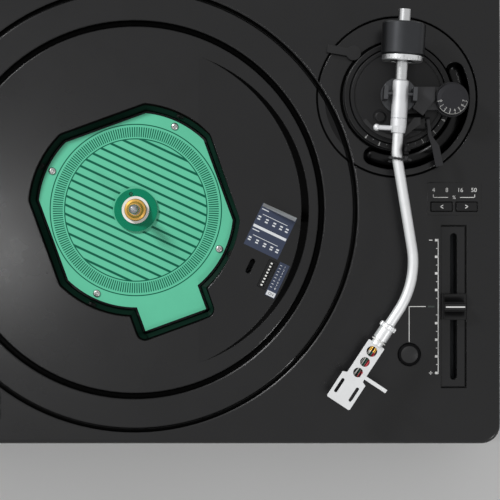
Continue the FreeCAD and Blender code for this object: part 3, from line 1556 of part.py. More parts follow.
def make_cueing():
    """Make the lifter's damper, the cue lever and the lifter bar that raises the tube."""
    bore = D.lifter_rod_radius + D.running_gap
    barrel = rod("lifter_barrel", D.lifter_radius, D.lifter_long, D.lifter_x - D.lifter_long / 2,
                 -D.lifter_y, 0.0, ALONG_X)
    clip = block("lifter_above", 2 * D.lifter_long, 4 * D.lifter_radius, 2 * D.lifter_radius,
                 D.lifter_x, -D.lifter_y, 0.0)
    half = overlap("lifter_half", [barrel, clip])
    pin_x = D.lifter_x + D.lifter_long / 2
    pin_long = D.lever_x + D.lever_wide / 2 - pin_x
    pin = rod("lever_pin", D.lever_pin_radius, pin_long, pin_x - D.lever_pin_sink, -D.lifter_y,
              D.lever_pivot_rise, ALONG_X)
    well = drum("lifter_rod_bore", bore, 2 * D.lifter_radius, D.lifter_x, -D.lifter_y, 0.0)
    block_part = carve("lifter_block", join("lifter_body", [half, pin]), [well])
    part(about_pivot(block_part, PLATFORM_TOP))

    top_z = D.arm_above_deck - D.platform_top - D.tube_radius - D.lifter_clearance
    arc_bottom = top_z - D.lifter_arc_thick
    half_wide = D.lifter_arc_wide / 2
    hoop = ring("lifter_hoop", D.lifter_arc_radius + half_wide, D.lifter_arc_radius - half_wide,
                D.lifter_arc_thick, 0.0, 0.0, arc_bottom)
    reach = 2 * D.lifter_arc_radius
    sector = slab("lifter_sector", [
        (0.0, 0.0),
        (reach * cosine(216.0), reach * sine(216.0)),
        (reach * cosine(244.0), reach * sine(244.0)),
        (reach * cosine(273.0), reach * sine(273.0)),
    ], 3 * D.lifter_arc_thick, z=arc_bottom - D.lifter_arc_thick)
    arc = overlap("lifter_arc", [hoop, sector])
    link = slab("lifter_link", [
        (D.lifter_arc_radius * sine(1.0), -D.lifter_arc_radius - half_wide),
        (D.lifter_x + 2.4, -D.lifter_y - 2.4),
        (D.lifter_x + 2.4, -D.lifter_y + 2.4),
        (D.lifter_x - 2.4, -D.lifter_y + 2.4),
        (D.lifter_arc_radius * sine(1.0), -D.lifter_arc_radius + half_wide),
    ], D.lifter_arc_thick, z=arc_bottom)
    stem = drum("lifter_rod", D.lifter_rod_radius, D.lifter_rod_long, D.lifter_x, -D.lifter_y,
                top_z - D.lifter_rod_long)
    part(about_pivot(join("lifter_bar", [arc, link, stem]), PLATFORM_TOP))

    hub = rod("lever_hub", D.lever_hub_radius, D.lever_wide, D.lever_x - D.lever_wide / 2, -D.lifter_y,
              D.lever_pivot_rise, ALONG_X)
    root = D.lever_root_wide / 2
    neck = D.lever_neck_wide / 2
    wide = D.paddle_wide / 2
    slant = D.paddle_slant / 2
    root_y = -D.lifter_y + D.lever_root_in
    blade = slab("lever_blade", [
        (D.lever_x - root, root_y),
        (D.lever_neck_x - neck, -D.lever_neck_y),
        (D.paddle_start_x - wide, -D.paddle_start_y),
        (D.lever_reach_x - wide, -D.lever_reach_y - slant),
        (D.lever_reach_x + wide, -D.lever_reach_y + slant),
        (D.paddle_start_x + wide, -D.paddle_start_y),
        (D.lever_neck_x + neck, -D.lever_neck_y),
        (D.lever_x + root, root_y),
    ], D.lever_thick, z=D.lever_pivot_rise + D.lever_blade_rise)
    lever_bore = rod("lever_bore", D.lever_pin_radius + D.running_gap, 2 * D.lever_wide,
                     D.lever_x - D.lever_wide, -D.lifter_y, D.lever_pivot_rise, ALONG_X)
    lever = carve("cue_lever", join("lever_body", [hub, blade]), [lever_bore])
    part(about_pivot(lever, PLATFORM_TOP))


ARM_TURN = Rotation(Vector(0, 0, 1), -D.arm_heading_angle.value)


def along_arm(item, along=0.0, turn=None):
    """Place an object in the arm's frame, a distance along its first run, turned first if asked."""
    x = PIVOT_X + along * cosine(D.arm_heading_angle)
    y = PIVOT_Y - along * sine(D.arm_heading_angle)
    return put(item, x, y, ARM_AXIS, ARM_TURN.multiply(turn) if turn else ARM_TURN)


def make_rest():
    """Make the arm rest beside the parked tube and its swing-over clip, in the arm's frame."""
    wall_near = D.tube_radius + D.rest_side_gap
    wall_far = wall_near + D.rest_wall
    floor_z = -D.tube_radius - D.rest_clearance
    wall_top = D.rest_wall_top
    shelf_z = floor_z - D.rest_shelf_thick
    foot_z = D.platform_top - D.arm_above_deck
    post_y = wall_far - D.rest_post_wide / 2
    shelf = block("rest_shelf", D.rest_long, wall_far + D.tube_radius, D.rest_shelf_thick, D.rest_at,
                  (wall_far - D.tube_radius) / 2, shelf_z)
    wall = block("rest_wall_block", D.rest_long, D.rest_wall, wall_top - shelf_z, D.rest_at,
                 (wall_near + wall_far) / 2, shelf_z)
    post = block("rest_post", D.rest_long, D.rest_post_wide, shelf_z + D.sink - foot_z, D.rest_at,
                 post_y, foot_z)
    step_start = D.ring_inner - D.rest_step_inset
    step_end = D.rest_at + D.rest_long / 2
    step = block("rest_step", step_end - step_start, D.rest_post_wide, D.rest_step_tall,
                 (step_end + step_start) / 2, post_y, foot_z)
    pin_y = (wall_near + wall_far) / 2
    pin_z = wall_top + D.clip_hub_radius + D.free_gap
    ear_tall = D.clip_hub_radius + D.free_gap + D.clip_pin_radius + D.rest_ear_above
    reach = (D.rest_long - D.rest_ear_long) / 2
    ears = [
        block(f"rest_ear_{side:+d}", D.rest_ear_long, D.rest_wall, ear_tall, D.rest_at + side * reach, pin_y,
              wall_top)
        for side in (-1, 1)
    ]
    pin = rod("rest_pin", D.clip_pin_radius, 2 * reach, D.rest_at - reach, pin_y, pin_z, ALONG_X)
    part(along_arm(join("arm_rest", [shelf, wall, post, step, pin] + ears)))

    wide = D.rest_long - 2 * D.rest_ear_long - 2 * D.free_gap
    hub = rod("clip_hub", D.clip_hub_radius, wide, D.rest_at - wide / 2, pin_y, pin_z, ALONG_X)
    strap = block("clip_strap", wide, D.clip_thick, D.clip_long, D.rest_at,
                  pin_y + D.clip_hub_radius - D.clip_thick / 2, pin_z)
    lip = block("clip_lip", wide, D.clip_lip_tall, D.clip_thick, D.rest_at,
                pin_y + D.clip_hub_radius - D.clip_lip_tall / 2, pin_z + D.clip_long - D.clip_thick)
    bore = rod("clip_bore", D.clip_pin_radius + D.running_gap, wide, D.rest_at - wide / 2, pin_y, pin_z,
               ALONG_X)
    part(along_arm(carve("rest_clip", join("clip_body", [hub, strap, lip]), [bore])))


def make_yoke():
    """Make the yoke that turns the arm sideways and carries its level pivots."""
    disc_z = D.platform_top + D.boss_tall + D.free_gap - D.arm_above_deck
    disc = drum("yoke_disc", D.yoke_radius, D.yoke_thick, 0.0, 0.0, disc_z)
    shaft = drum("yoke_shaft", D.yaw_shaft_radius, D.yaw_shaft_long + D.sink, 0.0, 0.0,
                 disc_z - D.yaw_shaft_long)
    cheeks = []
    for side in (-1, 1):
        y = side * (D.yoke_gap + D.yoke_cheek / 2)
        cheek = block(f"yoke_cheek_{side:+d}", D.yoke_cheek_long, D.yoke_cheek, D.yoke_rise - disc_z,
                      0.0, y, disc_z)
        cheeks.append(cheek)
        cheeks.append(rod(f"yoke_pin_{side:+d}", D.pin_radius, D.yoke_gap - D.pin_reach + D.sink, 0.0,
                          side * D.pin_reach, 0.0, Vector(0, side, 0)))
    part(along_arm(join("gimbal_yoke", [disc, shaft] + cheeks)))


def arm_route():
    """Return the arm tube's route: three runs in the level plane, joined by two arcs."""
    first = D.run_one.value
    second = D.run_two.value
    third = D.run_three.value
    left = math.radians(D.bend_one_angle.value)
    right = left - math.radians(D.bend_two_angle.value)
    start = Vector(D.housing_front.value - D.tube_socket.value, 0, 0)
    corner_one = Vector(first, 0, 0)
    corner_two = corner_one + Vector(math.cos(left), math.sin(left), 0) * second
    end = corner_two + Vector(math.cos(right), math.sin(right), 0) * third
    return [start, corner_one, corner_two, end]


def make_arm():
    """Make the pivot housing, the bent tube and the rear shaft."""
    profile = [
        (0.0, -D.housing_back),
        (D.housing_radius - D.housing_edge, -D.housing_back),
        (D.housing_radius, -D.housing_back + D.housing_edge),
        (D.housing_radius, D.housing_seam - D.housing_seam_half),
        (D.housing_radius - D.housing_seam_deep, D.housing_seam),
        (D.housing_radius, D.housing_seam + D.housing_seam_half),
        (D.housing_radius, D.housing_front - D.housing_taper_long),
        (D.housing_radius - D.housing_taper, D.housing_front),
        (0.0, D.housing_front),
    ]
    shell = turned("housing_shell", profile, 0.0, 0.0, 0.0, LENGTHWAYS)
    stub = rod("housing_stub", D.stub_radius, D.stub_reach, D.stub_at, 0.0, 0.0, Vector(0, -1, 0))
    knob = ball("housing_stub_ball", D.stub_ball, D.stub_at, -D.stub_reach, 0.0)
    solid = join("housing_solid", [shell, stub, knob])
    socket = rod("housing_tube_socket", D.tube_radius, D.tube_socket + D.sink,
                 D.housing_front - D.tube_socket, 0.0, 0.0, ALONG_X)
    pin_bore = rod("housing_pin_bore", D.pin_radius + D.running_gap, 4 * D.housing_radius, 0.0,
                   -2 * D.housing_radius, 0.0, Vector(0, 1, 0))
    core = block("housing_pin_core", 4 * D.pin_radius, 2 * D.pin_reach - 2 * D.free_gap, 4 * D.pin_radius,
                 0.0, 0.0, -2 * D.pin_radius)
    bores = carve("housing_pin_bores", pin_bore, [core])
    shaft_socket = rod("housing_shaft_socket", D.shaft_radius, 4.0, -D.housing_back - 1.0, 0.0, 0.0,
                       ALONG_X)
    part(along_arm(carve("pivot_housing", solid, [socket, bores, shaft_socket])))

    radii = [D.bend_one_radius.value, D.bend_two_radius.value]
    route = rounded_route(arm_route(), radii)
    outer = piped("tube_outer", route, D.tube_radius)
    inner = piped("tube_inner", route, D.tube_bore)
    part(along_arm(carve("arm_tube", outer, [inner])))

    shaft = drum("rear_shaft", D.shaft_radius, D.shaft_long - D.housing_back + 3.0)
    part(along_arm(shaft, -D.shaft_long, LENGTHWAYS))


def make_counterweight():
    """Make the nylon bush on the rear shaft, the weight on it and the force dial."""
    bore = D.shaft_radius + D.running_gap
    seat = D.bush_radius + D.running_gap
    half = D.weight_long / 2
    bush_back = -half + D.bush_back_inset
    bush_front = half - D.bush_front_inset
    bush = [(bore, bush_back), (D.bush_radius, bush_back), (D.bush_radius, bush_front), (bore, bush_front)]
    weight = [
        (seat, -half),
        (D.weight_radius - D.weight_edge, -half),
        (D.weight_radius, -half + D.weight_edge),
        (D.weight_radius, half - D.weight_edge),
        (D.weight_radius - D.weight_edge, half),
        (D.dial_sleeve, half),
        (D.dial_sleeve, half + D.dial_thick),
        (seat, half + D.dial_thick),
    ]
    dial_bore = D.dial_sleeve + D.running_gap
    front = half + D.free_gap
    dial = [
        (dial_bore, front),
        (D.dial_radius, front),
        (D.dial_radius, front + D.dial_thick - 0.6),
        (D.dial_radius - 0.6, front + D.dial_thick),
        (dial_bore, front + D.dial_thick),
    ]
    for name, profile in (("weight_bush", bush), ("counterweight", weight), ("force_dial", dial)):
        part(along_arm(turned(name, profile), -D.weight_centre, LENGTHWAYS))


def at_shell(item, turn=None):
    """Place an object that is modelled along the last run, from the second bend's corner."""
    heading = D.arm_heading_angle.value
    course = Rotation(Vector(0, 0, 1), D.bend_one_angle.value - D.bend_two_angle.value - heading)
    left = D.bend_one_angle
    reach_x = D.run_one + D.run_two * cosine(left)
    reach_y = D.run_two * sine(left)
    x = PIVOT_X + reach_x * cosine(D.arm_heading_angle) + reach_y * sine(D.arm_heading_angle)
    y = PIVOT_Y - reach_x * sine(D.arm_heading_angle) + reach_y * cosine(D.arm_heading_angle)
    return put(item, x, y, ARM_AXIS, course.multiply(turn) if turn else course)


def contact_places():
    """Return the four contact positions across and up, about the headshell's axis."""
    offset = D.contact_offset
    return [(-2 * offset, -offset), (-offset, offset), (offset, offset), (2 * offset, -offset)]


def shell_outline():
    """Return the headshell's plan from its neck to its front edge."""
    start = D.shell_start
    narrow = D.shell_narrow_half
    wide = D.shell_wide_half
    waist = start + D.shell_narrow_long
    flare = waist + D.shell_flare_long
    front = start + D.shell_long
    back = D.shell_back_corner
    corner = D.shell_front_corner
    return [
        (start, -narrow + back),
        (start + back, -narrow),
        (waist, -narrow),
        (flare, -wide),
        (front - corner, -wide),
        (front, -wide + corner),
        (front, wide - corner),
        (front - corner, wide),
        (flare, wide),
        (waist, narrow),
        (start + back, narrow),
        (start, narrow - back),
    ]


def make_headshell():
    """Make the lock nut, the headshell, its finger lift, contacts and leads."""
    nut_bore = D.tube_radius + D.running_gap
    throat = D.neck_radius + D.free_gap
    nut = [
        (nut_bore, 0.0),
        (D.nut_body_radius, 0.0),
        (D.nut_radius, 0.8),
        (D.nut_radius, D.nut_flange_long),
        (D.nut_body_radius, D.nut_flange_long + 0.4),
        (D.nut_body_radius, D.nut_long),
        (throat, D.nut_long),
        (throat, D.nut_throat),
        (nut_bore, D.nut_throat),
    ]
    blank = turned("nut_blank", nut, D.nut_start, 0.0, 0.0, LENGTHWAYS)
    ribs = []
    count = round(D.nut_rib_count.value)
    for number in range(count):
        angle = 360.0 / count * number
        reach = D.nut_radius - D.nut_rib_deep + D.nut_rib_radius
        y = reach * cosine(angle)
        z = reach * sine(angle)
        ribs.append(rod(f"nut_rib_{number}", D.nut_rib_radius, D.nut_flange_long + 0.4, D.nut_start, y, z,
                        ALONG_X))
    part(at_shell(carve("headshell_collar", blank, ribs)))

    plug_start = D.run_three - D.plug_long
    plug_radius = D.tube_bore - D.running_gap
    plug = rod("shell_plug", plug_radius, D.plug_long + 2 * D.sink, plug_start, 0.0, 0.0, ALONG_X)
    neck_start = D.run_three + D.free_gap
    part(at_shell(turned("headshell_gasket", [
        (D.neck_radius + D.running_gap, D.gasket_at),
        (D.gasket_radius, D.gasket_at),
        (D.gasket_radius, D.gasket_at + D.gasket_thick),
        (D.neck_radius + D.running_gap, D.gasket_at + D.gasket_thick),
    ]), turn=LENGTHWAYS))
    neck = rod("shell_neck", D.neck_radius, D.shell_start - neck_start + D.sink, neck_start, 0.0, 0.0,
               ALONG_X)
    plate = slab("shell_plate", shell_outline(), D.shell_thick, 0.0, 0.0, -D.shell_drop)
    cuts = []
    for number in range(3):
        centre = D.shell_start + D.shell_hole_first + number * D.shell_hole_step
        radius = D.shell_hole_radius if number else D.contact_hole_radius
        cuts.append(drum(f"shell_hole_{number}", radius, 2 * D.shell_thick, centre, 0.0, -2 * D.shell_drop))
    for side in (-1, 1):
        slot_start = D.shell_start + D.shell_slot_start
        y = side * D.slot_half_spacing
        radius = D.shell_slot_radius
        long = D.shell_slot_long
        cuts.append(block(f"shell_slot_{side:+d}", long - 2 * radius, 2 * radius, 2 * D.shell_thick,
                          slot_start + long / 2, y, -2 * D.shell_drop))
        cuts.append(drum(f"shell_slot_back_{side:+d}", radius, 2 * D.shell_thick,
                         slot_start + radius, y, -2 * D.shell_drop))
        cuts.append(drum(f"shell_slot_front_{side:+d}", radius, 2 * D.shell_thick,
                         slot_start + long - radius, y, -2 * D.shell_drop))
    contact_start = D.shell_start + D.shell_hole_first - D.contact_hole_radius - D.contact_back
    contacts = []
    bores = []
    for number, (y, z) in enumerate(contact_places()):
        level = z / 2 - D.contact_drop
        contacts.append(rod(f"contact_{number}", D.contact_radius, D.contact_long, contact_start, y, level,
                            ALONG_X))
        bores.append(rod(f"contact_bore_{number}", D.contact_radius, D.contact_long, contact_start, y, level,
                         ALONG_X))
    lift_middle = (D.lift_root + D.lift_reach) / 2
    lift_seat = block("lift_seat", D.lift_wide, D.lift_reach - D.lift_root, D.lift_thick,
                      D.shell_start + D.lift_at, lift_middle, D.lift_level - D.lift_thick)
    part(at_shell(carve("headshell", join("shell_body", [plug, neck, plate]), cuts + bores + [lift_seat])))
    part(at_shell(group("headshell_pins", contacts)))

    lift = block("finger_lift_bar", D.lift_wide, D.lift_reach - D.lift_root, D.lift_thick,
                 D.shell_start + D.lift_at, lift_middle, D.lift_level - D.lift_thick)
    hook = block("finger_lift_hook", D.lift_wide, D.lift_hook, D.lift_hook_thick, D.shell_start + D.lift_at,
                 D.lift_reach - D.lift_hook / 2, D.lift_level - D.lift_thick)
    part(at_shell(join("finger_lift", [lift, hook])))

    leads = []
    rounds = [D.lead_round_out.value, D.lead_round_down.value, D.lead_round_back.value]
    lead_z = -D.shell_drop.value - D.lead_drop.value
    for number, (y, z) in enumerate(contact_places()):
        start_x = contact_start.value + D.contact_long.value
        start_y = y.value
        level = z.value / 2 - D.contact_drop.value
        spread = (number - 1.5) * D.lead_spacing.value
        bend = start_x + D.lead_bend.value
        run = bend + D.lead_long.value / 2
        points = [
            Vector(start_x, start_y, level),
            Vector(start_x + D.lead_straight.value, start_y, level),
            Vector(bend + D.lead_bend_long.value, spread, lead_z),
            Vector(run, spread, lead_z),
            Vector(run + D.lead_long.value / 2, spread * D.lead_fan.value, lead_z),
        ]
        leads.append(piped(f"lead_{number}", rounded_route(points, rounds), D.lead_radius))
    part(at_shell(group("headshell_wires", leads)))


def make_tie():
    """Make the thin wire tie round the parked tube, on its first bend, with its twisted ends."""
    loop = D.tube_radius + D.tie_radius + D.tie_slack
    bend = D.bend_one_radius
    past = D.tie_at - D.run_one + bend * tangent(D.bend_one_angle / 2)
    turn = Rotation(Vector(0, 0, 1), math.degrees(math.asin(past.value / bend.value)))
    hoop = new("Part::Torus", "tie_hoop")
    bind(hoop, "Radius1", loop)
    bind(hoop, "Radius2", D.tie_radius)
    put(hoop, 0.0, 0.0, 0.0, LENGTHWAYS)
    knot = ball("tie_knot", D.tie_knot_radius, 0.0, loop + D.tie_radius, 0.0)
    ends = [
        rod(f"tie_end_{number}", D.tie_radius, D.tie_end_long, 0.0, loop, 0.0, Vector(lean, 1.0, rise))
        for number, (lean, rise) in enumerate(((0.9, 0.3), (0.2, 0.35)))
    ]
    tie = join("arm_tie", [hoop, knot] + ends)
    x = D.tie_at * cosine(D.arm_heading_angle)
    y = -D.tie_at * sine(D.arm_heading_angle)
    side = bend - other_leg(bend, past)
    x = PIVOT_X + x + side * sine(D.arm_heading_angle)
    y = PIVOT_Y + y + side * cosine(D.arm_heading_angle)
    part(put(tie, x, y, ARM_AXIS, ARM_TURN.multiply(turn)))


def make_inside():
    """Make the control board and the transformer."""
    clear_of_boss = D.foot_inset + D.foot_boss / 2
    board_x = RIGHT_EDGE - D.side_wall - D.control_side_gap - D.control_long / 2
    board_y = FRONT_EDGE + clear_of_boss + D.control_boss_gap + D.control_deep / 2
    board_top = D.control_z + D.control_thick
    board = block("control_sheet", D.control_long, D.control_deep, D.control_thick, board_x, board_y,
                  D.control_z)
    legs = []
    floor = BASE_BOTTOM + D.cover_thick
    for sign_x in (-1, 1):
        for sign_y in (-1, 1):
            x = board_x + sign_x * (D.control_long / 2 - D.control_leg_inset)
            y = board_y + sign_y * (D.control_deep / 2 - D.control_leg_inset)
            legs.append(drum(f"control_leg_{sign_x:+d}{sign_y:+d}", D.control_leg_radius, D.control_z - floor,
                             x, y, floor))
    chips = [
        block("control_chip", D.chip_side, D.chip_side, D.chip_tall, board_x - D.chip_offset, board_y,
              board_top),
        block("control_driver", D.driver_long, D.driver_deep, D.driver_tall, board_x + D.chip_offset,
              board_y + D.driver_offset, board_top),
    ]
    part(join("control_board", [board] + legs + chips))

    foot_long = D.transformer_long + D.transformer_foot
    x = LEFT_EDGE + D.side_wall + D.transformer_side_gap + foot_long / 2
    y = BACK_EDGE - clear_of_boss - D.transformer_boss_gap - D.transformer_deep / 2
    core_deep = D.transformer_deep / 2
    core = block("transformer_core", D.transformer_long, core_deep, D.transformer_tall, x, y, floor)
    winding = block("transformer_winding", D.transformer_long - D.winding_inset, D.transformer_deep,
                    D.transformer_tall - D.winding_drop, x, y, floor + D.winding_drop / 2)
    foot = block("transformer_foot_plate", foot_long, core_deep, D.transformer_foot_thick, x, y, floor)
    part(join("transformer", [core, winding, foot]))


def make_back():
    """Make the back panel, the sockets, the ground post and the mains inlet."""
    outer_face = BACK_EDGE - D.panel_inset
    middle = BASE_BOTTOM + D.base_tall / 2
    backwards = Vector(0, 1, 0)
    panel_x = RIGHT_EDGE - D.panel_side_inset
    panel = block("panel_plate", D.panel_long, D.panel_thick, D.panel_tall, panel_x,
                  outer_face - D.panel_thick / 2, middle - D.panel_tall / 2)
    places = [panel_x - D.jack_spacing, panel_x]
    ground_x = panel_x + 1.5 * D.jack_spacing
    holes = [
        rod(f"panel_hole_{number}", D.jack_shank_radius, 2 * D.panel_thick, x,
            outer_face - 1.5 * D.panel_thick, middle, backwards)
        for number, x in enumerate(places + [ground_x])
    ]
    part(carve("rear_panel", panel, holes))

    shank, shank_long = D.jack_shank_radius, D.jack_shank_long
    shank_start = outer_face - shank_long + D.sink
    jacks = []
    for number, x in enumerate(places):
        body = join(f"jack_body_{number}", [
            rod(f"jack_shank_{number}", shank, shank_long, x, shank_start, middle, backwards),
            rod(f"jack_flange_{number}", D.jack_flange_radius, D.jack_flange_thick, x, outer_face, middle,
                backwards),
            rod(f"jack_barrel_{number}", D.jack_radius, D.jack_long, x, outer_face, middle, backwards),
        ])
        bore = rod(f"jack_bore_{number}", D.jack_bore, D.jack_long, x, outer_face + D.jack_bore_floor, middle,
                   backwards)
        jacks.append(carve(f"jack_{number}", body, [bore]))
    part(group("audio_jacks", jacks))

    part(join("ground_post", [
        rod("ground_shank", shank, shank_long, ground_x, shank_start, middle, backwards),
        rod("ground_knob", D.ground_radius, D.ground_long, ground_x, outer_face, middle, backwards),
    ]))

    face = BACK_EDGE - D.inlet_face_inset
    inlet_x = LEFT_EDGE + D.inlet_side_inset
    case = block("inlet_case", D.inlet_long, D.inlet_deep, D.inlet_tall, inlet_x, face - D.inlet_deep / 2,
                 middle - D.inlet_tall / 2)
    socket = block("inlet_socket", D.inlet_long - 2 * D.inlet_wall, D.inlet_socket_deep,
                   D.inlet_tall - 2 * D.inlet_wall, inlet_x, face - D.inlet_socket_deep / 2,
                   middle - D.inlet_tall / 2 + D.inlet_wall)
    hollow = carve("inlet_hollow", case, [socket])
    pins = [
        rod(f"inlet_pin_{side:+d}", D.inlet_pin_radius, D.inlet_pin_long + D.sink,
            inlet_x + side * D.inlet_pin_spread, face - D.inlet_socket_deep - D.sink, middle, backwards)
        for side in (-1, 1)
    ]
    part(join("mains_inlet", [hollow] + pins))


def check(item):
    """Stop if a sub-part failed to build or is not made of valid solids."""
    shape = item.Shape
    if shape.isNull() or not shape.isValid() or not shape.Solids:
        raise RuntimeError(f"{item.Label} is not a valid solid")


def main():
    """Build every sub-part, check the document and write one file for each."""
    make_deck()
    make_base()
    make_feet()
    make_motor()
    make_bearing()
    make_setup_switch()
    make_fader()
    make_buttons()
    make_arm_base()
    make_anti_skating()
    make_cueing()
    make_rest()
    make_yoke()
    make_arm()
    make_counterweight()
    make_headshell()
    make_tie()
    make_inside()
    make_back()
    DOCUMENT.recompute()
    failed = [item.Label for item in DOCUMENT.Objects if {"Invalid", "Error"} & set(item.State)]
    if failed:
        raise RuntimeError("these objects failed: " + ", ".join(failed))
    os.makedirs("parts", exist_ok=True)
    for item in PARTS:
        check(item)
        item.Shape.exportStep(f"parts/{item.Label}.step")
        print(f"{item.Label}: {len(item.Shape.Solids)} solid, {item.Shape.Volume / 1000:.2f} cm3")


main()
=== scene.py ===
"""Looks of a DJ turntable with its platter lifted off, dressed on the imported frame."""

import logging
import math
from dataclasses import dataclass
from enum import Enum
from typing import Callable, Protocol, Sequence

import bmesh
import bpy
from mathutils import Matrix, Vector
from mathutils.bvhtree import BVHTree


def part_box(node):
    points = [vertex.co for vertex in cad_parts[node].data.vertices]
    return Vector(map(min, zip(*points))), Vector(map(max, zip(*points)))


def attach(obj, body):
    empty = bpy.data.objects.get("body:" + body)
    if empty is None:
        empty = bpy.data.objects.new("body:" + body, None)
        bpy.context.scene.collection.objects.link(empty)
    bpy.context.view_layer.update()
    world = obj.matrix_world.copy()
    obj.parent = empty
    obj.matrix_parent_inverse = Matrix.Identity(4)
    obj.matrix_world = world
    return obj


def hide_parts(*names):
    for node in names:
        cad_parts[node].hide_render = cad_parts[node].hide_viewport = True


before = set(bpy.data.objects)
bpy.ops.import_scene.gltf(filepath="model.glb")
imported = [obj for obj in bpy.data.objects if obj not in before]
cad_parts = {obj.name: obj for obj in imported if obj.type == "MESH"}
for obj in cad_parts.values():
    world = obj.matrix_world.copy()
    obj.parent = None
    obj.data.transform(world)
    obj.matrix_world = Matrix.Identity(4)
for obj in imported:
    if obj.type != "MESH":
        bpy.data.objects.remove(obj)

LOG = logging.getLogger("turntable")
MM = 0.001

Colour = tuple[float, float, float]
Pair = tuple[float, float]
Place = tuple[float, float, float]
Solid = tuple[Vector, Vector]

# The spindle and the tonearm's pivot, in millimetres, and the way that the parked arm points.
SPINDLE: Pair = (-50.0, 0.0)
PIVOT: Pair = (147.155, 84.501)
ARM_RUN: Place = (-0.057564, -0.998342, 0.0)

# Heights that marks are pressed down from.
OVER_DECK = 112.0
OVER_KEYS = 115.0
OVER_CAPS = 125.0
OVER_DIAL = 140.0

# Depth of a screw's cross recess, distance that points are welded within, a figure's height as a
# share of its type size, the depth that ink goes below the surface, and an arc's step in degrees.
RECESS = 0.9
WELD = 1e-4
FIGURE_SHARE = 0.69
INK_ROOT = 0.03
ARC_STEP = 5

# Point that the lamps are turned to, in metres, and the width of the camera's sensor, in millimetres.
LAMP_AIM: Place = (0.0, 0.0, 0.08)
SENSOR = 36.0


def linear(red: int, green: int, blue: int) -> Colour:
    """Turn a screen colour into the linear one that a shader takes.

    Args:
        red: Red, from 0 to 255.
        green: Green, from 0 to 255.
        blue: Blue, from 0 to 255.

    Returns:
        The linear colour, each part from 0 to 1.
    """
    parts = []
    for part in (red, green, blue):
        share = part / 255
        parts.append(share / 12.92 if share <= 0.04045 else ((share + 0.055) / 1.055) ** 2.4)
    return parts[0], parts[1], parts[2]


def toned(colour: Colour, by: float) -> Colour:
    """Return a colour made lighter or darker by a factor."""
    return colour[0] * by, colour[1] * by, colour[2] * by


# Shader making.


def worked(operation: str, reflected: bool = False) -> Callable[..., "Sock"]:
    """Make an operator that adds one Math node.

    Args:
        operation: Operation of the node.
        reflected: Whether the other value comes first.

    Returns:
        The operator, as a method of a value.
    """

    def method(self: "Sock", *others: "Sock | float") -> "Sock":
        """Return the result as a new value."""
        values = (*others, self) if reflected else (self, *others)
        return self.nodes.math(operation, *values)

    return method


class Sock:
    """A value in a node tree that adds its Math nodes as it is reckoned with."""

    __add__ = worked("ADD")
    __radd__ = worked("ADD", True)
    __sub__ = worked("SUBTRACT")
    __rsub__ = worked("SUBTRACT", True)
    __mul__ = worked("MULTIPLY")
    __rmul__ = worked("MULTIPLY", True)
    __truediv__ = worked("DIVIDE")
    __pow__ = worked("POWER")
    __abs__ = worked("ABSOLUTE")
    part = worked("FRACT")
    top = worked("MAXIMUM")

    def __init__(self, nodes: "Nodes", socket: bpy.types.NodeSocket) -> None:
        """Keep the tree and the socket that the value leaves from."""
        self.nodes = nodes
        self.socket = socket


class Nodes:
    """A node tree in the making."""

    def __init__(self, tree: bpy.types.NodeTree) -> None:
        """Start with an empty tree."""
        self.tree = tree
        tree.nodes.clear()

    def node(self, kind: str, settings: dict | None = None, inputs: dict | None = None) -> bpy.types.Node:
        """Add one node.

        Args:
            kind: The node's type.
            settings: Its settings, set before its sockets.
            inputs: Values or links, by the socket's name or number.

        Returns:
            The new node.
        """
        made = self.tree.nodes.new(kind)
        for name, value in (settings or {}).items():
            setattr(made, name, value)
        for name, value in (inputs or {}).items():
            if isinstance(value, Sock):
                self.tree.links.new(value.socket, made.inputs[name])
            else:
                made.inputs[name].default_value = value
        return made

    def sock(self, node: bpy.types.Node, output: str | int = 0) -> Sock:
        """Return one of a node's outputs as a value."""
        return Sock(self, node.outputs[output])

    def value(self, kind: str, settings: dict | None = None, inputs: dict | None = None,
              output: str | int = 0) -> Sock:
        """Add one node and return one of its outputs as a value."""
        return self.sock(self.node(kind, settings, inputs), output)

    def math(self, operation: str, *values: "Sock | float") -> Sock:
        """Add a Math node on values and return its result."""
        return self.value("ShaderNodeMath", {"operation": operation}, dict(enumerate(values)))


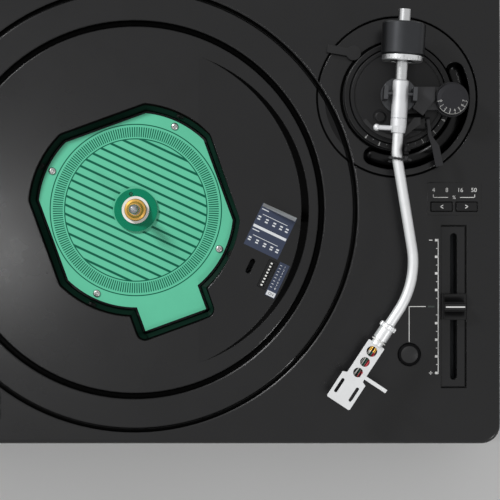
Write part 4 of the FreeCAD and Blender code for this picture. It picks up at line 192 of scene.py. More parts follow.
class Shader(Nodes):
    """A material in the making: one surface and the nodes that feed it."""

    def __init__(self, name: str) -> None:
        """Start an empty material under a name."""
        self.material = bpy.data.materials.new(name)
        self.material.use_nodes = True
        super().__init__(self.material.node_tree)

    def vector(self, operation: str, inputs: dict, output: str | int = 0) -> Sock:
        """Add a Vector Math node and return its result."""
        return self.value("ShaderNodeVectorMath", {"operation": operation}, inputs, output)

    def place(self) -> Sock:
        """Return the point on the surface, in millimetres."""
        return self.vector("SCALE", {0: self.value("ShaderNodeTexCoord", output="Object"), "Scale": 1 / MM})

    def axes(self, place: Sock) -> tuple[Sock, Sock, Sock]:
        """Return the three parts of a point."""
        split = self.node("ShaderNodeSeparateXYZ", None, {0: place})
        return self.sock(split, 0), self.sock(split, 1), self.sock(split, 2)

    def point(self, x: "Sock | float", y: "Sock | float", z: "Sock | float") -> Sock:
        """Return a point made of three values."""
        return self.value("ShaderNodeCombineXYZ", None, {0: x, 1: y, 2: z})

    def noise(self, place: Sock, spacing: float, detail: float = 2.0) -> Sock:
        """Return soft noise from 0 to 1.

        Args:
            place: Point that the noise is read at, in millimetres.
            spacing: Distance between its hills, in millimetres.
            detail: How many finer layers it has.

        Returns:
            The noise.
        """
        inputs = {"Vector": place, "Scale": 1 / spacing, "Detail": detail, "Roughness": 0.55}
        return self.value("ShaderNodeTexNoise", None, inputs)

    def cells(self, place: Sock, spacing: float) -> Sock:
        """Return the distance to the nearest of scattered points, 0 to about 1."""
        return self.value("ShaderNodeTexVoronoi", None, {"Vector": place, "Scale": 1 / spacing})

    def smooth(self, value: Sock, low: float, high: float) -> Sock:
        """Return 0 below one level, 1 above another, and a soft rise between."""
        settings = {"interpolation_type": "SMOOTHSTEP"}
        return self.value("ShaderNodeMapRange", settings, {0: value, 1: low, 2: high})

    def band(self, value: Sock, middle: float, half: float, soft: float) -> Sock:
        """Return 1 within a band of a value and 0 outside it."""
        return 1 - self.smooth(abs(value - middle), half - soft, half + soft)

    def mix(self, factor: Sock, first: "Sock | Colour", second: "Sock | Colour") -> Sock:
        """Mix two colours.

        Args:
            factor: Share of the second colour.
            first: Colour where the factor is 0.
            second: Colour where the factor is 1.

        Returns:
            The mixed colour.
        """
        inputs = {0: factor}
        for number, colour in ((6, first), (7, second)):
            inputs[number] = colour if isinstance(colour, Sock) else (*colour, 1.0)
        return self.value("ShaderNodeMix", {"data_type": "RGBA"}, inputs, 2)

    def mottled(self, factor: Sock, colour: Colour, low: float, high: float) -> Sock:
        """Mix a darker and a lighter tone of one colour."""
        return self.mix(factor, toned(colour, low), toned(colour, high))

    def reach(self, x: Sock, y: Sock) -> Sock:
        """Return the length of a pair of values."""
        return (x * x + y * y) ** 0.5

    def rounded(self, radius: float) -> Sock:
        """Return the normal with edges rounded by a radius in millimetres."""
        return self.value("ShaderNodeBevel", {"samples": 4}, {"Radius": radius * MM})

    def rubbed(self, normal: Sock) -> Sock:
        """Return how much a rounded normal leans off the face, which marks the edges."""
        flat = self.value("ShaderNodeNewGeometry", output="Normal")
        return self.smooth(1 - self.vector("DOT_PRODUCT", {0: normal, 1: flat}, "Value"), 0.01, 0.2)

    def bump(self, height: Sock, deep: float, normal: Sock | None = None) -> Sock:
        """Return the normal of a surface with a relief.

        Args:
            height: Relief, from 0 to 1.
            deep: Height of its hills, in millimetres.
            normal: Normal that it starts from.

        Returns:
            The new normal.
        """
        inputs = {"Height": height, "Distance": deep * MM, "Strength": 1.0}
        if normal:
            inputs["Normal"] = normal
        return self.value("ShaderNodeBump", None, inputs)

    def surface(self, **inputs: "Sock | float | Colour") -> bpy.types.Material:
        """Close the material with one surface.

        Args:
            inputs: Values of the surface's sockets, with low lines for the gaps in their names.

        Returns:
            The finished material.
        """
        named = {}
        for name, value in inputs.items():
            named[name.replace("_", " ")] = (*value, 1.0) if isinstance(value, tuple) else value
        shader = self.node("ShaderNodeBsdfPrincipled", None, named)
        self.node("ShaderNodeOutputMaterial", None, {"Surface": self.sock(shader)})
        return self.material


# Finishes.


class Finish(Protocol):
    """What every finish can do."""

    def make(self) -> bpy.types.Material:
        """Return the finish as a material."""


@dataclass(frozen=True)
class Moulded:
    """Moulded plastic or paint with a fine grain, uneven gloss and rubbed edges."""

    name: str
    colour: Colour
    roughness: float = 0.42
    specular: float = 0.35
    grain: float = 0.45
    deep: float = 0.004
    edge: float = 0.3
    rub: float = 0.35

    def make(self) -> bpy.types.Material:
        """Return the finish as a material."""
        shader = Shader(self.name)
        place = shader.place()
        cloud = shader.noise(place, 38.0, 3.0)
        pores = shader.noise(place, self.grain)
        soft = shader.rounded(self.edge)
        base = shader.mottled(cloud, self.colour, 0.85, 1.15)
        worn = shader.mix(shader.rubbed(soft) * self.rub, base, toned(self.colour, 1.9))
        return shader.surface(
            Base_Color=worn,
            Roughness=self.roughness + (cloud - 0.5) * 0.08 + (pores - 0.5) * 0.06,
            Specular_IOR_Level=self.specular,
            Normal=shader.bump(pores, self.deep, soft),
        )


@dataclass(frozen=True)
class DeckPlastic:
    """Satin black deck whose grooves, gaps and steep walls are painted near black and dull, as painted shade."""

    colour: Colour
    # Rings painted as shade: middle, radius, half width, level that they are shaded below, and share.
    rounds: tuple[tuple[Pair, float, float, float, float], ...]
    roughness: float = 0.21
    specular: float = 0.26
    reach: Pair = (221.0, 172.0)
    top: float = 99.5
    edge: float = 1.1

    def _hollow(self, shader: Shader, place: Sock, soft: Sock) -> Sock:
        """Return 1 where the deck's grooves, gaps and steep walls take painted shade, and 0 on its open faces.

        Args:
            shader: Shader that it is added to.
            place: Point on the surface, in millimetres.
            soft: Normal with rounded edges.

        Returns:
            Share of the painted shade.
        """
        x, y, z = shader.axes(place)
        _, _, up = shader.axes(soft)
        # Painted shade: steep walls below the deck's top, and the listed rings below their levels, are marked for
        # near-black colour.
        steep = 1 - shader.smooth(up, 0.82, 0.95)
        inner = (1 - shader.smooth(abs(x), self.reach[0] - 0.5, self.reach[0]))
        inner = inner * (1 - shader.smooth(abs(y), self.reach[1] - 0.5, self.reach[1]))
        shade_share = steep * inner * (1 - shader.smooth(z, self.top - 0.5, self.top))
        for (middle_x, middle_y), radius, half, level, share in self.rounds:
            band = shader.band(shader.reach(x - middle_x, y - middle_y), radius, half, 0.1)
            shade_share = shade_share.top(band * (1 - shader.smooth(z, level - 0.4, level)) * share)
        return shade_share

    def make(self) -> bpy.types.Material:
        """Return the finish as a material."""
        shader = Shader("deck_plastic")
        place = shader.place()
        cloud = shader.noise(place, 38.0, 3.0)
        pores = shader.noise(place, 0.55)
        soft = shader.rounded(self.edge)
        shade_share = self._hollow(shader, place, soft)
        base = shader.mottled(cloud, self.colour, 0.85, 1.15)
        # Painted shade: near-black colour for the grooves, gaps and steep walls, with Metallic set to the same
        # share so their reflection is dimmed too.
        shade_colour = shader.mix(pores, linear(3, 3, 3), linear(9, 9, 9))
        return shader.surface(
            Base_Color=shader.mix(shade_share, base, shade_colour),
            Metallic=shade_share,
            Roughness=self.roughness + (cloud - 0.5) * 0.08 + (pores - 0.5) * 0.06,
            Specular_IOR_Level=self.specular,
            Normal=shader.bump(pores, 0.004, soft),
        )


class Lay(Enum):
    """Direction of the marks that a metal's working has left."""

    CAST = "cast"
    ALONG = "along"
    ROUND = "round"


@dataclass(frozen=True)
class BareMetal:
    """Metal with the marks of its working, uneven gloss and bright edges."""

    name: str
    colour: Colour
    roughness: float = 0.3
    lay: Lay = Lay.CAST
    centre: Place = (0.0, 0.0, 0.0)
    axis: Place = (0.0, 0.0, 1.0)
    metallic: float = 1.0
    deep: float = 0.003
    edge: float = 0.25

    def _scored(self, shader: Shader, place: Sock) -> Sock:
        """Return the noise of the working marks.

        Args:
            shader: Shader that it is added to.
            place: Point on the surface, in millimetres.

        Returns:
            Noise from 0 to 1, drawn out along the lay.
        """
        if self.lay is Lay.CAST:
            return shader.noise(place, 0.6, 3.0)
        away = shader.vector("SUBTRACT", {0: place, 1: self.centre})
        height = shader.vector("DOT_PRODUCT", {0: away, 1: self.axis}, "Value")
        across = shader.vector("CROSS_PRODUCT", {0: away, 1: self.axis})
        reach = shader.vector("LENGTH", {0: across}, "Value")
        if self.lay is Lay.ROUND:
            return shader.noise(shader.point(reach, height, 0.0), 0.22)
        u, v, w = shader.axes(across)
        return shader.noise(shader.point(u + v * 0.7, w, height * 0.02), 0.25)

    def make(self) -> bpy.types.Material:
        """Return the finish as a material."""
        shader = Shader(self.name)
        place = shader.place()
        scored = self._scored(shader, place)
        cloud = shader.noise(place, 9.0, 3.0)
        soft = shader.rounded(self.edge)
        base = shader.mottled(cloud, self.colour, 0.93, 1.05)
        bright = shader.mix(shader.rubbed(soft) * 0.4, base, toned(self.colour, 1.25))
        return shader.surface(
            Base_Color=bright,
            Metallic=self.metallic,
            Roughness=self.roughness + (scored - 0.5) * 0.16 + (cloud - 0.5) * 0.08,
            Normal=shader.bump(scored, self.deep, soft),
        )


@dataclass(frozen=True)
class BoardLacquer:
    """Green lacquer of the motor board, with its printed rings, teeth and stripes."""

    spindle: Pair
    green: Colour = linear(98, 194, 158)
    line: Colour = linear(2, 88, 66)
    teeth: int = 216
    teeth_at: float = 59.3
    teeth_half: float = 3.8
    rings: tuple[float, ...] = (54.1, 65.1)
    stripe_step: float = 6.3
    stripe_turn: float = -25.0
    stripe_reach: float = 53.6
    hub: float = 17.0

    def make(self) -> bpy.types.Material:
        """Return the finish as a material."""
        shader = Shader("board_lacquer")
        place = shader.place()
        x, y, _ = shader.axes(place)
        x, y = x - self.spindle[0], y - self.spindle[1]
        reach = shader.reach(x, y)
        turn = shader.math("ARCTAN2", y, x)
        tooth = shader.band((turn * (self.teeth / math.tau)).part(), 0.5, 0.24, 0.1)
        drawn = tooth * shader.band(reach, self.teeth_at, self.teeth_half, 0.15)
        for ring in self.rings:
            drawn = drawn.top(shader.band(reach, ring, 0.42, 0.12))
        lean = math.radians(self.stripe_turn)
        across = y * math.cos(lean) - x * math.sin(lean)
        groove = shader.band((across / self.stripe_step + 0.5).part(), 0.5, 0.14, 0.035)
        within = 1 - shader.smooth(reach, self.stripe_reach, self.stripe_reach + 0.8)
        clear = shader.smooth(reach, self.hub, self.hub + 0.6)
        drawn = drawn.top(groove * within * clear)
        cloud = shader.noise(place, 24.0, 3.0)
        weave = shader.noise(place, 0.5)
        base = shader.mottled(cloud, self.green, 0.92, 1.08)
        soft = shader.rounded(0.25)
        return shader.surface(
            Base_Color=shader.mix(drawn, base, self.line),
            Roughness=0.34 + (cloud - 0.5) * 0.1 + (weave - 0.5) * 0.06,
            Specular_IOR_Level=0.1,
            Normal=shader.bump(drawn * 0.8 + weave * 0.2, 0.02, soft),
        )


@dataclass(frozen=True)
class WoundCopper:
    """Enamelled copper wire wound in even turns about upright cores, with painted shade between the turns."""

    name: str = "wound_copper"
    wire: float = 0.5

    def make(self) -> bpy.types.Material:
        """Return the finish as a material."""
        shader = Shader(self.name)
        place = shader.place()
        _, _, z = shader.axes(place)
        turns = abs((z / self.wire).part() - 0.5) * 2
        cloud = shader.noise(place, 6.0, 3.0)
        hue = shader.mix(cloud, linear(176, 92, 44), linear(212, 128, 70))
        return shader.surface(
            # Painted shade: the colour darkens towards the grooves between neighbouring turns, where the bump is
            # low.
            Base_Color=shader.mix(turns * 0.45, hue, linear(92, 44, 22)),
            Metallic=0.85,
            Roughness=0.3 + (cloud - 0.5) * 0.15,
            Coat_Weight=0.4,
            Normal=shader.bump(1 - turns, 0.12, None),
        )


@dataclass(frozen=True)
class Layered:
    """Two finishes in one solid, parted at a height."""

    name: str
    low: Colour
    high: Colour
    level: float
    low_metal: float = 0.0
    high_metal: float = 0.0
    low_rough: float = 0.6
    high_rough: float = 0.4
    edge: float = 0.3

    def make(self) -> bpy.types.Material:
        """Return the finish as a material."""
        shader = Shader(self.name)
        place = shader.place()
        above = shader.smooth(shader.axes(place)[2], self.level - 0.05, self.level + 0.05)
        cloud = shader.noise(place, 14.0, 3.0)
        pores = shader.noise(place, 0.5)
        soft = shader.rounded(self.edge)
        low = shader.mottled(cloud, self.low, 0.85, 1.15)
        high = shader.mottled(cloud, self.high, 0.9, 1.1)
        rough = self.low_rough + above * (self.high_rough - self.low_rough)
        return shader.surface(
            Base_Color=shader.mix(above, low, high),
            Metallic=self.low_metal + above * (self.high_metal - self.low_metal),
            Roughness=rough + (pores - 0.5) * 0.12 + (cloud - 0.5) * 0.08,
            Specular_IOR_Level=0.35,
            Normal=shader.bump(pores, 0.01, soft),
        )


@dataclass(frozen=True)
class LeadSheaths:
    """Thin leads side by side, each sheath in a colour of its own, with bare gold ends."""

    root: Place
    along: Place
    across: Place
    step: float
    ends: Pair
    colours: tuple[Colour, ...] = (
        linear(14, 14, 16), linear(232, 232, 226), linear(6, 112, 92), linear(196, 14, 44),
    )

    def make(self) -> bpy.types.Material:
        """Return the finish as a material."""
        shader = Shader("lead_sheaths")
        place = shader.place()
        away = shader.vector("SUBTRACT", {0: place, 1: self.root})
        side = shader.vector("DOT_PRODUCT", {0: away, 1: self.across}, "Value")
        run = shader.vector("DOT_PRODUCT", {0: away, 1: self.along}, "Value")
        hue: Sock | Colour = self.colours[0]
        for number, colour in enumerate(self.colours[1:], 1):
            edge = (number - len(self.colours) / 2) * self.step
            hue = shader.mix(shader.smooth(side, edge - 0.05, edge + 0.05), hue, colour)
        bare = 1 - shader.smooth(run, self.ends[0] - 0.1, self.ends[0] + 0.1)
        bare = bare.top(shader.smooth(run, self.ends[1] - 0.1, self.ends[1] + 0.1))
        dirt = shader.noise(place, 3.0, 3.0)
        return shader.surface(
            Base_Color=shader.mix(bare, shader.mix(dirt * 0.25, hue, linear(40, 38, 36)), linear(214, 170, 84)),
            Metallic=bare,
            Roughness=0.38 + (dirt - 0.5) * 0.2,
            Normal=shader.bump(dirt, 0.02, None),
        )


@dataclass(frozen=True)
class CircuitSheet:
    """Circuit board lacquer with copper tracks, and dark parts that stand above it."""

    name: str
    level: float
    green: Colour = linear(28, 92, 58)
    pitch: float = 2.54

    def make(self) -> bpy.types.Material:
        """Return the finish as a material."""
        shader = Shader(self.name)
        place = shader.place()
        x, y, z = shader.axes(place)
        column = shader.band((x / self.pitch).part(), 0.5, 0.16, 0.03)
        row = shader.band((y / self.pitch).part(), 0.5, 0.16, 0.03)
        patch = shader.smooth(shader.noise(place, 11.0), 0.48, 0.52)
        tracks = column * patch + row * (1 - patch)
        pads = 1 - shader.smooth(shader.cells(place, 5.1), 0.16, 0.2)
        base = shader.mix(tracks * 0.6, self.green, toned(self.green, 1.9))
        sheet = shader.mix(pads, base, linear(190, 186, 170))
        parts = shader.mix(shader.noise(place, 8.0), linear(24, 24, 26), linear(52, 52, 56))
        above = shader.smooth(z, self.level + 0.1, self.level + 0.3)
        return shader.surface(
            Base_Color=shader.mix(above, sheet, parts),
            Metallic=pads * (1 - above) * 0.8,
            Roughness=0.35 + shader.noise(place, 2.0) * 0.2,
            Normal=shader.bump(tracks.top(pads), 0.03, shader.rounded(0.3)),
        )


@dataclass(frozen=True)
class Sockets:
    """Nickel jacks, each with a coloured ring of insulation about its middle."""

    middles: tuple[Pair, ...]
    colours: tuple[Colour, ...]
    ring: Pair

    def make(self) -> bpy.types.Material:
        """Return the finish as a material."""
        shader = Shader("jack_nickel")
        place = shader.place()
        x, _, z = shader.axes(place)
        hue: Sock | Colour = linear(206, 204, 198)
        bare: Sock | float = 1.0
        for (across, height), colour in zip(self.middles, self.colours):
            reach = shader.reach(x - across, z - height)
            ring = shader.band(reach, sum(self.ring) / 2, (self.ring[1] - self.ring[0]) / 2, 0.05)
            hue = shader.mix(ring, hue, colour)
            bare = bare * (1 - ring) if isinstance(bare, Sock) else 1 - ring
        cloud = shader.noise(place, 3.0, 3.0)
        return shader.surface(
            Base_Color=hue,
            Metallic=bare,
            Roughness=0.22 + cloud * 0.2,
            Normal=shader.bump(cloud, 0.01, shader.rounded(0.2)),
        )


@dataclass(frozen=True)
class Ink:
    """Printed ink, a little uneven and slightly worn."""

    name: str
    colour: Colour

    def make(self) -> bpy.types.Material:
        """Return the finish as a material."""
        shader = Shader(self.name)
        place = shader.place()
        thin = shader.noise(place, 1.2, 4.0)
        return shader.surface(
            Base_Color=shader.mottled(thin, self.colour, 0.88, 1.06),
            Roughness=0.45 + thin * 0.2,
            Specular_IOR_Level=0.3,
            Normal=shader.bump(thin, 0.004, None),
        )


@dataclass(frozen=True)
class TwistedSheath:
    """Black paper and plastic sheath of a twist tie, with fine cross wrinkles."""

    name: str = "tie_sheath"

    def make(self) -> bpy.types.Material:
        """Return the finish as a material."""
        shader = Shader(self.name)
        place = shader.place()
        wrinkle = shader.noise(place, 0.5, 3.0)
        return shader.surface(
            Base_Color=shader.mix(wrinkle, linear(18, 18, 19), linear(44, 44, 46)),
            Roughness=0.38 + wrinkle * 0.2,
            Specular_IOR_Level=0.45,
            Normal=shader.bump(wrinkle, 0.05, None),
        )


# Mesh making.


def solids(node: str) -> list[Solid]:
    """Find the separate solids of a CAD node.

    Args:
        node: Name of the node.

    Returns:
        The lowest and highest corner of each solid in millimetres, from left to right.
    """
    mesh = bmesh.new()
    mesh.from_mesh(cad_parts[node].data)
    bmesh.ops.remove_doubles(mesh, verts=mesh.verts, dist=1e-6)
    found = []
    for first in mesh.verts:
        if first.tag:
            continue
        first.tag = True
        front, reached = [first], [first.co / MM]
        while front:
            here = front.pop()
            for edge in here.link_edges:
                there = edge.other_vert(here)
                if not there.tag:
                    there.tag = True
                    front.append(there)
                    reached.append(there.co / MM)
        low = Vector([min(point[axis] for point in reached) for axis in range(3)])
        high = Vector([max(point[axis] for point in reached) for axis in range(3)])
        found.append((low, high))
    mesh.free()
    return sorted(found, key=lambda pair: (round(pair[0].x, 2), round(pair[0].y, 2)))


def box_of(node: str) -> Solid:
    """Return a CAD node's lowest and highest corner, in millimetres."""
    low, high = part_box(node)
    return low / MM, high / MM


def middle_of(node: str) -> Vector:
    """Return the middle of a CAD node's box, in millimetres."""
    low, high = box_of(node)
    return (low + high) / 2


def turned(profile: Sequence[Pair], steps: int = 40) -> bmesh.types.BMesh:
    """Spin a profile round Z into a closed solid.

    Args:
        profile: Pairs of radius and height, in millimetres.
        steps: Faces round the solid.

    Returns:
        The solid's mesh.
    """
    made = bmesh.new()
    points = [made.verts.new((radius, 0.0, height)) for radius, height in profile]
    runs = [made.edges.new(pair) for pair in zip(points, points[1:])]
    bmesh.ops.spin(
        made, geom=points + runs, axis=(0, 0, 1), cent=(0, 0, 0), dvec=(0, 0, 0),
        angle=math.tau, steps=steps, use_merge=True, use_duplicate=False,
    )
    bmesh.ops.remove_doubles(made, verts=made.verts, dist=WELD)
    bmesh.ops.recalc_face_normals(made, faces=made.faces)
    return made


def block(long: float, deep: float, tall: float, soft: float = 0.0) -> bmesh.types.BMesh:
    """Make a block on the plane Z = 0, with softened edges.

    Args:
        long: Size along X.
        deep: Size along Y.
        tall: Size along Z.
        soft: Radius of its edges.

    Returns:
        The block's mesh.
    """
    made = bmesh.new()
    bmesh.ops.create_cube(made, size=1.0)
    bmesh.ops.scale(made, vec=(long, deep, tall), verts=made.verts)
    bmesh.ops.translate(made, vec=(0, 0, tall / 2), verts=made.verts)
    if soft:
        bmesh.ops.bevel(
            made, geom=made.edges[:], offset=soft, offset_type="OFFSET", segments=2,
            profile=0.5, affect="EDGES", material=-1,
        )
    return made


def cross_head(radius: float, rise: float, deep: float, sides: int = 24) -> bmesh.types.BMesh:
    """Make a domed screw head with a cross recess, its seat at Z = 0.

    Args:
        radius: Radius of the head.
        rise: Height of the dome.
        deep: Depth of the recess.
        sides: Faces round the head, a multiple of 12.

    Returns:
        The head's mesh.
    """
    made = bmesh.new()
    half, reach = radius * 0.13, radius * 0.56
    corner = [(half, half), (half, reach), (-half, reach), (-half, half), (-reach, half), (-reach, -half),
              (-half, -half), (-half, -reach), (half, -reach), (half, -half), (reach, -half), (reach, half)]
    cross = [made.verts.new((x, y, rise)) for x, y in corner]
    edges = [made.edges.new((cross[i], cross[(i + 1) % 12])) for i in range(12)]
    bmesh.ops.subdivide_edges(made, edges=edges, cuts=sides // 12 - 1)
    inner = made.edges[:]
    ring = bmesh.ops.create_circle(made, cap_ends=False, radius=radius * 0.72, segments=sides)["verts"]
    bmesh.ops.rotate(made, verts=ring, cent=(0, 0, 0), matrix=Matrix.Rotation(math.radians(45), 3, "Z"))
    bmesh.ops.translate(made, vec=(0, 0, rise * 0.86), verts=ring)
    outer = [edge for edge in made.edges if edge not in inner]
    bmesh.ops.bridge_loops(made, edges=inner + outer)
    for share, height in ((0.93, 0.5), (1.0, 0.0)):
        grown = bmesh.ops.extrude_edge_only(made, edges=outer)["geom"]
        rim = [part for part in grown if isinstance(part, bmesh.types.BMVert)]
        outer = [part for part in grown if isinstance(part, bmesh.types.BMEdge)]
        for vert in rim:
            flat = Vector((vert.co.x, vert.co.y)).normalized() * radius * share
            vert.co = Vector((flat.x, flat.y, rise * height))
    grown = bmesh.ops.extrude_edge_only(made, edges=inner)["geom"]
    floor = [part for part in grown if isinstance(part, bmesh.types.BMVert)]
    bmesh.ops.scale(made, vec=(0.7, 0.7, 1.0), verts=floor)
    bmesh.ops.translate(made, vec=(0, 0, -deep), verts=floor)
    bmesh.ops.contextual_create(made, geom=[part for part in grown if isinstance(part, bmesh.types.BMEdge)])
    bmesh.ops.contextual_create(made, geom=outer)
    bmesh.ops.recalc_face_normals(made, faces=made.faces)
    return made


def meshed(curve: bpy.types.Curve) -> bmesh.types.BMesh:
    """Turn a curve or a text into a mesh.

    Args:
        curve: The curve, which is removed.

    Returns:
        Its mesh.
    """
    holder = bpy.data.objects.new(curve.name, curve)
    mesh = bpy.data.meshes.new_from_object(holder)
    made = bmesh.new()
    made.from_mesh(mesh)
    bpy.data.objects.remove(holder)
    bpy.data.curves.remove(curve)
    bpy.data.meshes.remove(mesh)
    return made


def strand(points: Sequence[Vector], radius: float) -> bmesh.types.BMesh:
    """Make a round strand along points.

    Args:
        points: Points of its middle line, in millimetres.
        radius: Radius of the strand.

    Returns:
        The strand's mesh.
    """
    curve = bpy.data.curves.new("strand", "CURVE")
    curve.dimensions = "3D"
    curve.bevel_depth = radius
    curve.bevel_resolution = 2
    curve.use_fill_caps = True
    line = curve.splines.new("POLY")
    line.points.add(len(points) - 1)
    for knot, point in zip(line.points, points):
        knot.co = (*point, 1.0)
    made = meshed(curve)
    bmesh.ops.remove_doubles(made, verts=made.verts, dist=WELD)
    bmesh.ops.recalc_face_normals(made, faces=made.faces)
    return made


class Workpiece:
    """A mesh in the making, in millimetres, that ends as one piece of the scene."""

    def __init__(self, name: str) -> None:
        """Start an empty piece under a name."""
        self.name = name
        self.mesh = bmesh.new()
        self.finishes: list[bpy.types.Material] = []

    def add(self, part: bmesh.types.BMesh, finish: bpy.types.Material, place: Matrix | None = None) -> None:
        """Take a part into the piece.

        Args:
            part: The part's mesh, which is freed.
            finish: Material of all its faces.
            place: Where it goes, in millimetres, if it isn't there.
        """
        if finish not in self.finishes:
            self.finishes.append(finish)
        if place:
            part.transform(place)
        for face in part.faces:
            face.material_index = self.finishes.index(finish)
        held = bpy.data.meshes.new("held")
        part.to_mesh(held)
        part.free()
        self.mesh.from_mesh(held)
        bpy.data.meshes.remove(held)

    def finish(self, body: str, slot: str, *nodes: str, sharp: float = 35.0) -> bpy.types.Object:
        """End the piece, link it to the scene and hang it on its body.

        Args:
            body: Body that it rides on.
            slot: Not used.
            nodes: CAD nodes that it stands for.
            sharp: Angle past which an edge stays sharp, in degrees.

        Returns:
            The finished object.
        """
        bmesh.ops.scale(self.mesh, vec=(MM, MM, MM), verts=self.mesh.verts)
        data = bpy.data.meshes.new(self.name)
        self.mesh.to_mesh(data)
        self.mesh.free()
        for material in self.finishes:
            data.materials.append(material)
        data.shade_smooth()
        data.set_sharp_from_angle(angle=math.radians(sharp))
        made = bpy.data.objects.new(self.name, data)
        bpy.context.scene.collection.objects.link(made)
        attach(made, body)
        if nodes:
            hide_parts(*nodes)
        LOG.info("%s: %d faces, rides on %s", self.name, len(data.polygons), body)
        return made


class Stencil:
    """Marks laid out on a plane and pressed on a surface as thin ink."""

    def __init__(self, name: str, node: str, ink: bpy.types.Material, lift: float = 0.05) -> None:
        """Start marks on a CAD node.

        Args:
            name: Name of the piece.
            node: CAD node whose surface takes the marks.
            ink: Material of the marks.
            lift: Height of the ink's face above the surface.
        """
        self.piece = Workpiece(name)
        self.ink = ink
        self.lift = lift
        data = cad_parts[node].data
        points = [vert.co / MM for vert in data.vertices]
        self.surface = BVHTree.FromPolygons(points, [face.vertices[:] for face in data.polygons])
        self.plane = Matrix.Identity(4)

    def at(self, x: float, y: float, z: float, turn: float = 0.0, tilt: Matrix | None = None) -> "Stencil":
        """Move the plane of the marks.

        Args:
            x: Its origin along X.
            y: Its origin along Y.
            z: Height that the marks are pressed down from.
            turn: Turn of the plane about Z, in degrees.
            tilt: Rotation that replaces the turn, for a plane that isn't level.

        Returns:
            This stencil.
        """
        spin = tilt or Matrix.Rotation(math.radians(turn), 4, "Z")
        self.plane = Matrix.Translation((x, y, z)) @ spin
        return self

    def _press(self, flat: bmesh.types.BMesh) -> None:
        """Press a flat mark on the surface and give it a thickness."""
        down = -(self.plane.to_3x3() @ Vector((0, 0, 1)))
        for vert in flat.verts:
            start = self.plane @ vert.co
            hit = self.surface.ray_cast(start, down)[0]
            vert.co = (hit or start) - down * self.lift
        grown = bmesh.ops.extrude_face_region(flat, geom=flat.faces[:])["geom"]
        sunk = [part for part in grown if isinstance(part, bmesh.types.BMVert)]
        bmesh.ops.translate(flat, vec=down * (self.lift + INK_ROOT), verts=sunk)
        bmesh.ops.recalc_face_normals(flat, faces=flat.faces)
        self.piece.add(flat, self.ink)

    def _rectangle(self, long: float, tall: float) -> bmesh.types.BMesh:
        """Return a flat rectangle about the plane's origin.

        Args:
            long: Its size along X.
            tall: Its size along Y.

        Returns:
            The rectangle's mesh.
        """
        flat = bmesh.new()
        bmesh.ops.create_grid(flat, x_segments=1, y_segments=1, size=0.5)
        bmesh.ops.scale(flat, vec=(long, tall, 1), verts=flat.verts)
        return flat

    def bar(self, left: float, low: float, right: float, high: float) -> None:
        """Press a rectangle given by its edges on the plane."""
        flat = self._rectangle(right - left, high - low)
        bmesh.ops.translate(flat, vec=((left + right) / 2, (low + high) / 2, 0), verts=flat.verts)
        self._press(flat)

    def stroke(self, start: Pair, end: Pair, wide: float) -> None:
        """Press a straight stroke of a width from one point to another."""
        run = Vector(end) - Vector(start)
        flat = self._rectangle(run.length + wide * 0.6, wide)
        spin = Matrix.Rotation(math.atan2(run.y, run.x), 3, "Z")
        bmesh.ops.rotate(flat, cent=(0, 0, 0), matrix=spin, verts=flat.verts)
        centre = (Vector(start) + Vector(end)) / 2
        bmesh.ops.translate(flat, vec=(centre.x, centre.y, 0), verts=flat.verts)
        self._press(flat)

    def arc(self, radius: float, wide: float, start: float, end: float) -> None:
        """Press part of a ring about the plane's origin, between two angles in degrees."""
        flat = bmesh.new()
        ends = [flat.verts.new((radius + side * wide / 2, 0, 0)) for side in (-1, 1)]
        line = flat.edges.new(ends)
        spin = Matrix.Rotation(math.radians(start), 3, "Z")
        bmesh.ops.rotate(flat, cent=(0, 0, 0), matrix=spin, verts=flat.verts)
        steps = max(2, round(abs(end - start) / ARC_STEP))
        bmesh.ops.spin(
            flat, geom=ends + [line], axis=(0, 0, 1), cent=(0, 0, 0), dvec=(0, 0, 0),
            angle=math.radians(end - start), steps=steps, use_merge=False, use_duplicate=False,
        )
        bmesh.ops.recalc_face_normals(flat, faces=flat.faces)
        self._press(flat)

    def sign(self, text: str, x: float, y: float, tall: float) -> None:
        """Press a figure or sign, centred on a point.

        Args:
            text: Figures or sign.
            x: Its middle along the plane's X.
            y: Its middle along the plane's Y.
            tall: Height of a figure.
        """
        curve = bpy.data.curves.new("sign", "FONT")
        curve.body = text
        curve.resolution_u = 3
        flat = meshed(curve)
        low = Vector([min(vert.co[axis] for vert in flat.verts) for axis in (0, 1)])
        high = Vector([max(vert.co[axis] for vert in flat.verts) for axis in (0, 1)])
        size = tall / FIGURE_SHARE
        bmesh.ops.translate(flat, vec=(-(low.x + high.x) / 2, -(low.y + high.y) / 2, 0), verts=flat.verts)
        bmesh.ops.scale(flat, vec=(size, size, 1), verts=flat.verts)
        bmesh.ops.translate(flat, vec=(x, y, 0), verts=flat.verts)
        bmesh.ops.remove_doubles(flat, verts=flat.verts, dist=WELD)
        self._press(flat)

    def finish(self, body: str, slot: str) -> bpy.types.Object:
        """End the marks as one piece that rides on a body."""
        return self.piece.finish(body, slot, sharp=30.0)


def dress(finish: Finish, *nodes: str) -> None:
    """Give CAD nodes a finish.

    Args:
        finish: The finish, for every face of the nodes.
        nodes: Names of the nodes.
    """
    material = finish.make()
    for node in nodes:
        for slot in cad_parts[node].material_slots:
            slot.material = material
        LOG.info("%s: dressed in %s", node, material.name)


# Sub-assemblies.


class Assembly:
    """Pieces that are dressed and built together."""

    def dress(self) -> None:
        """Give the CAD nodes their finishes."""

    def build(self) -> None:
        """Make the pieces that the CAD nodes lack."""


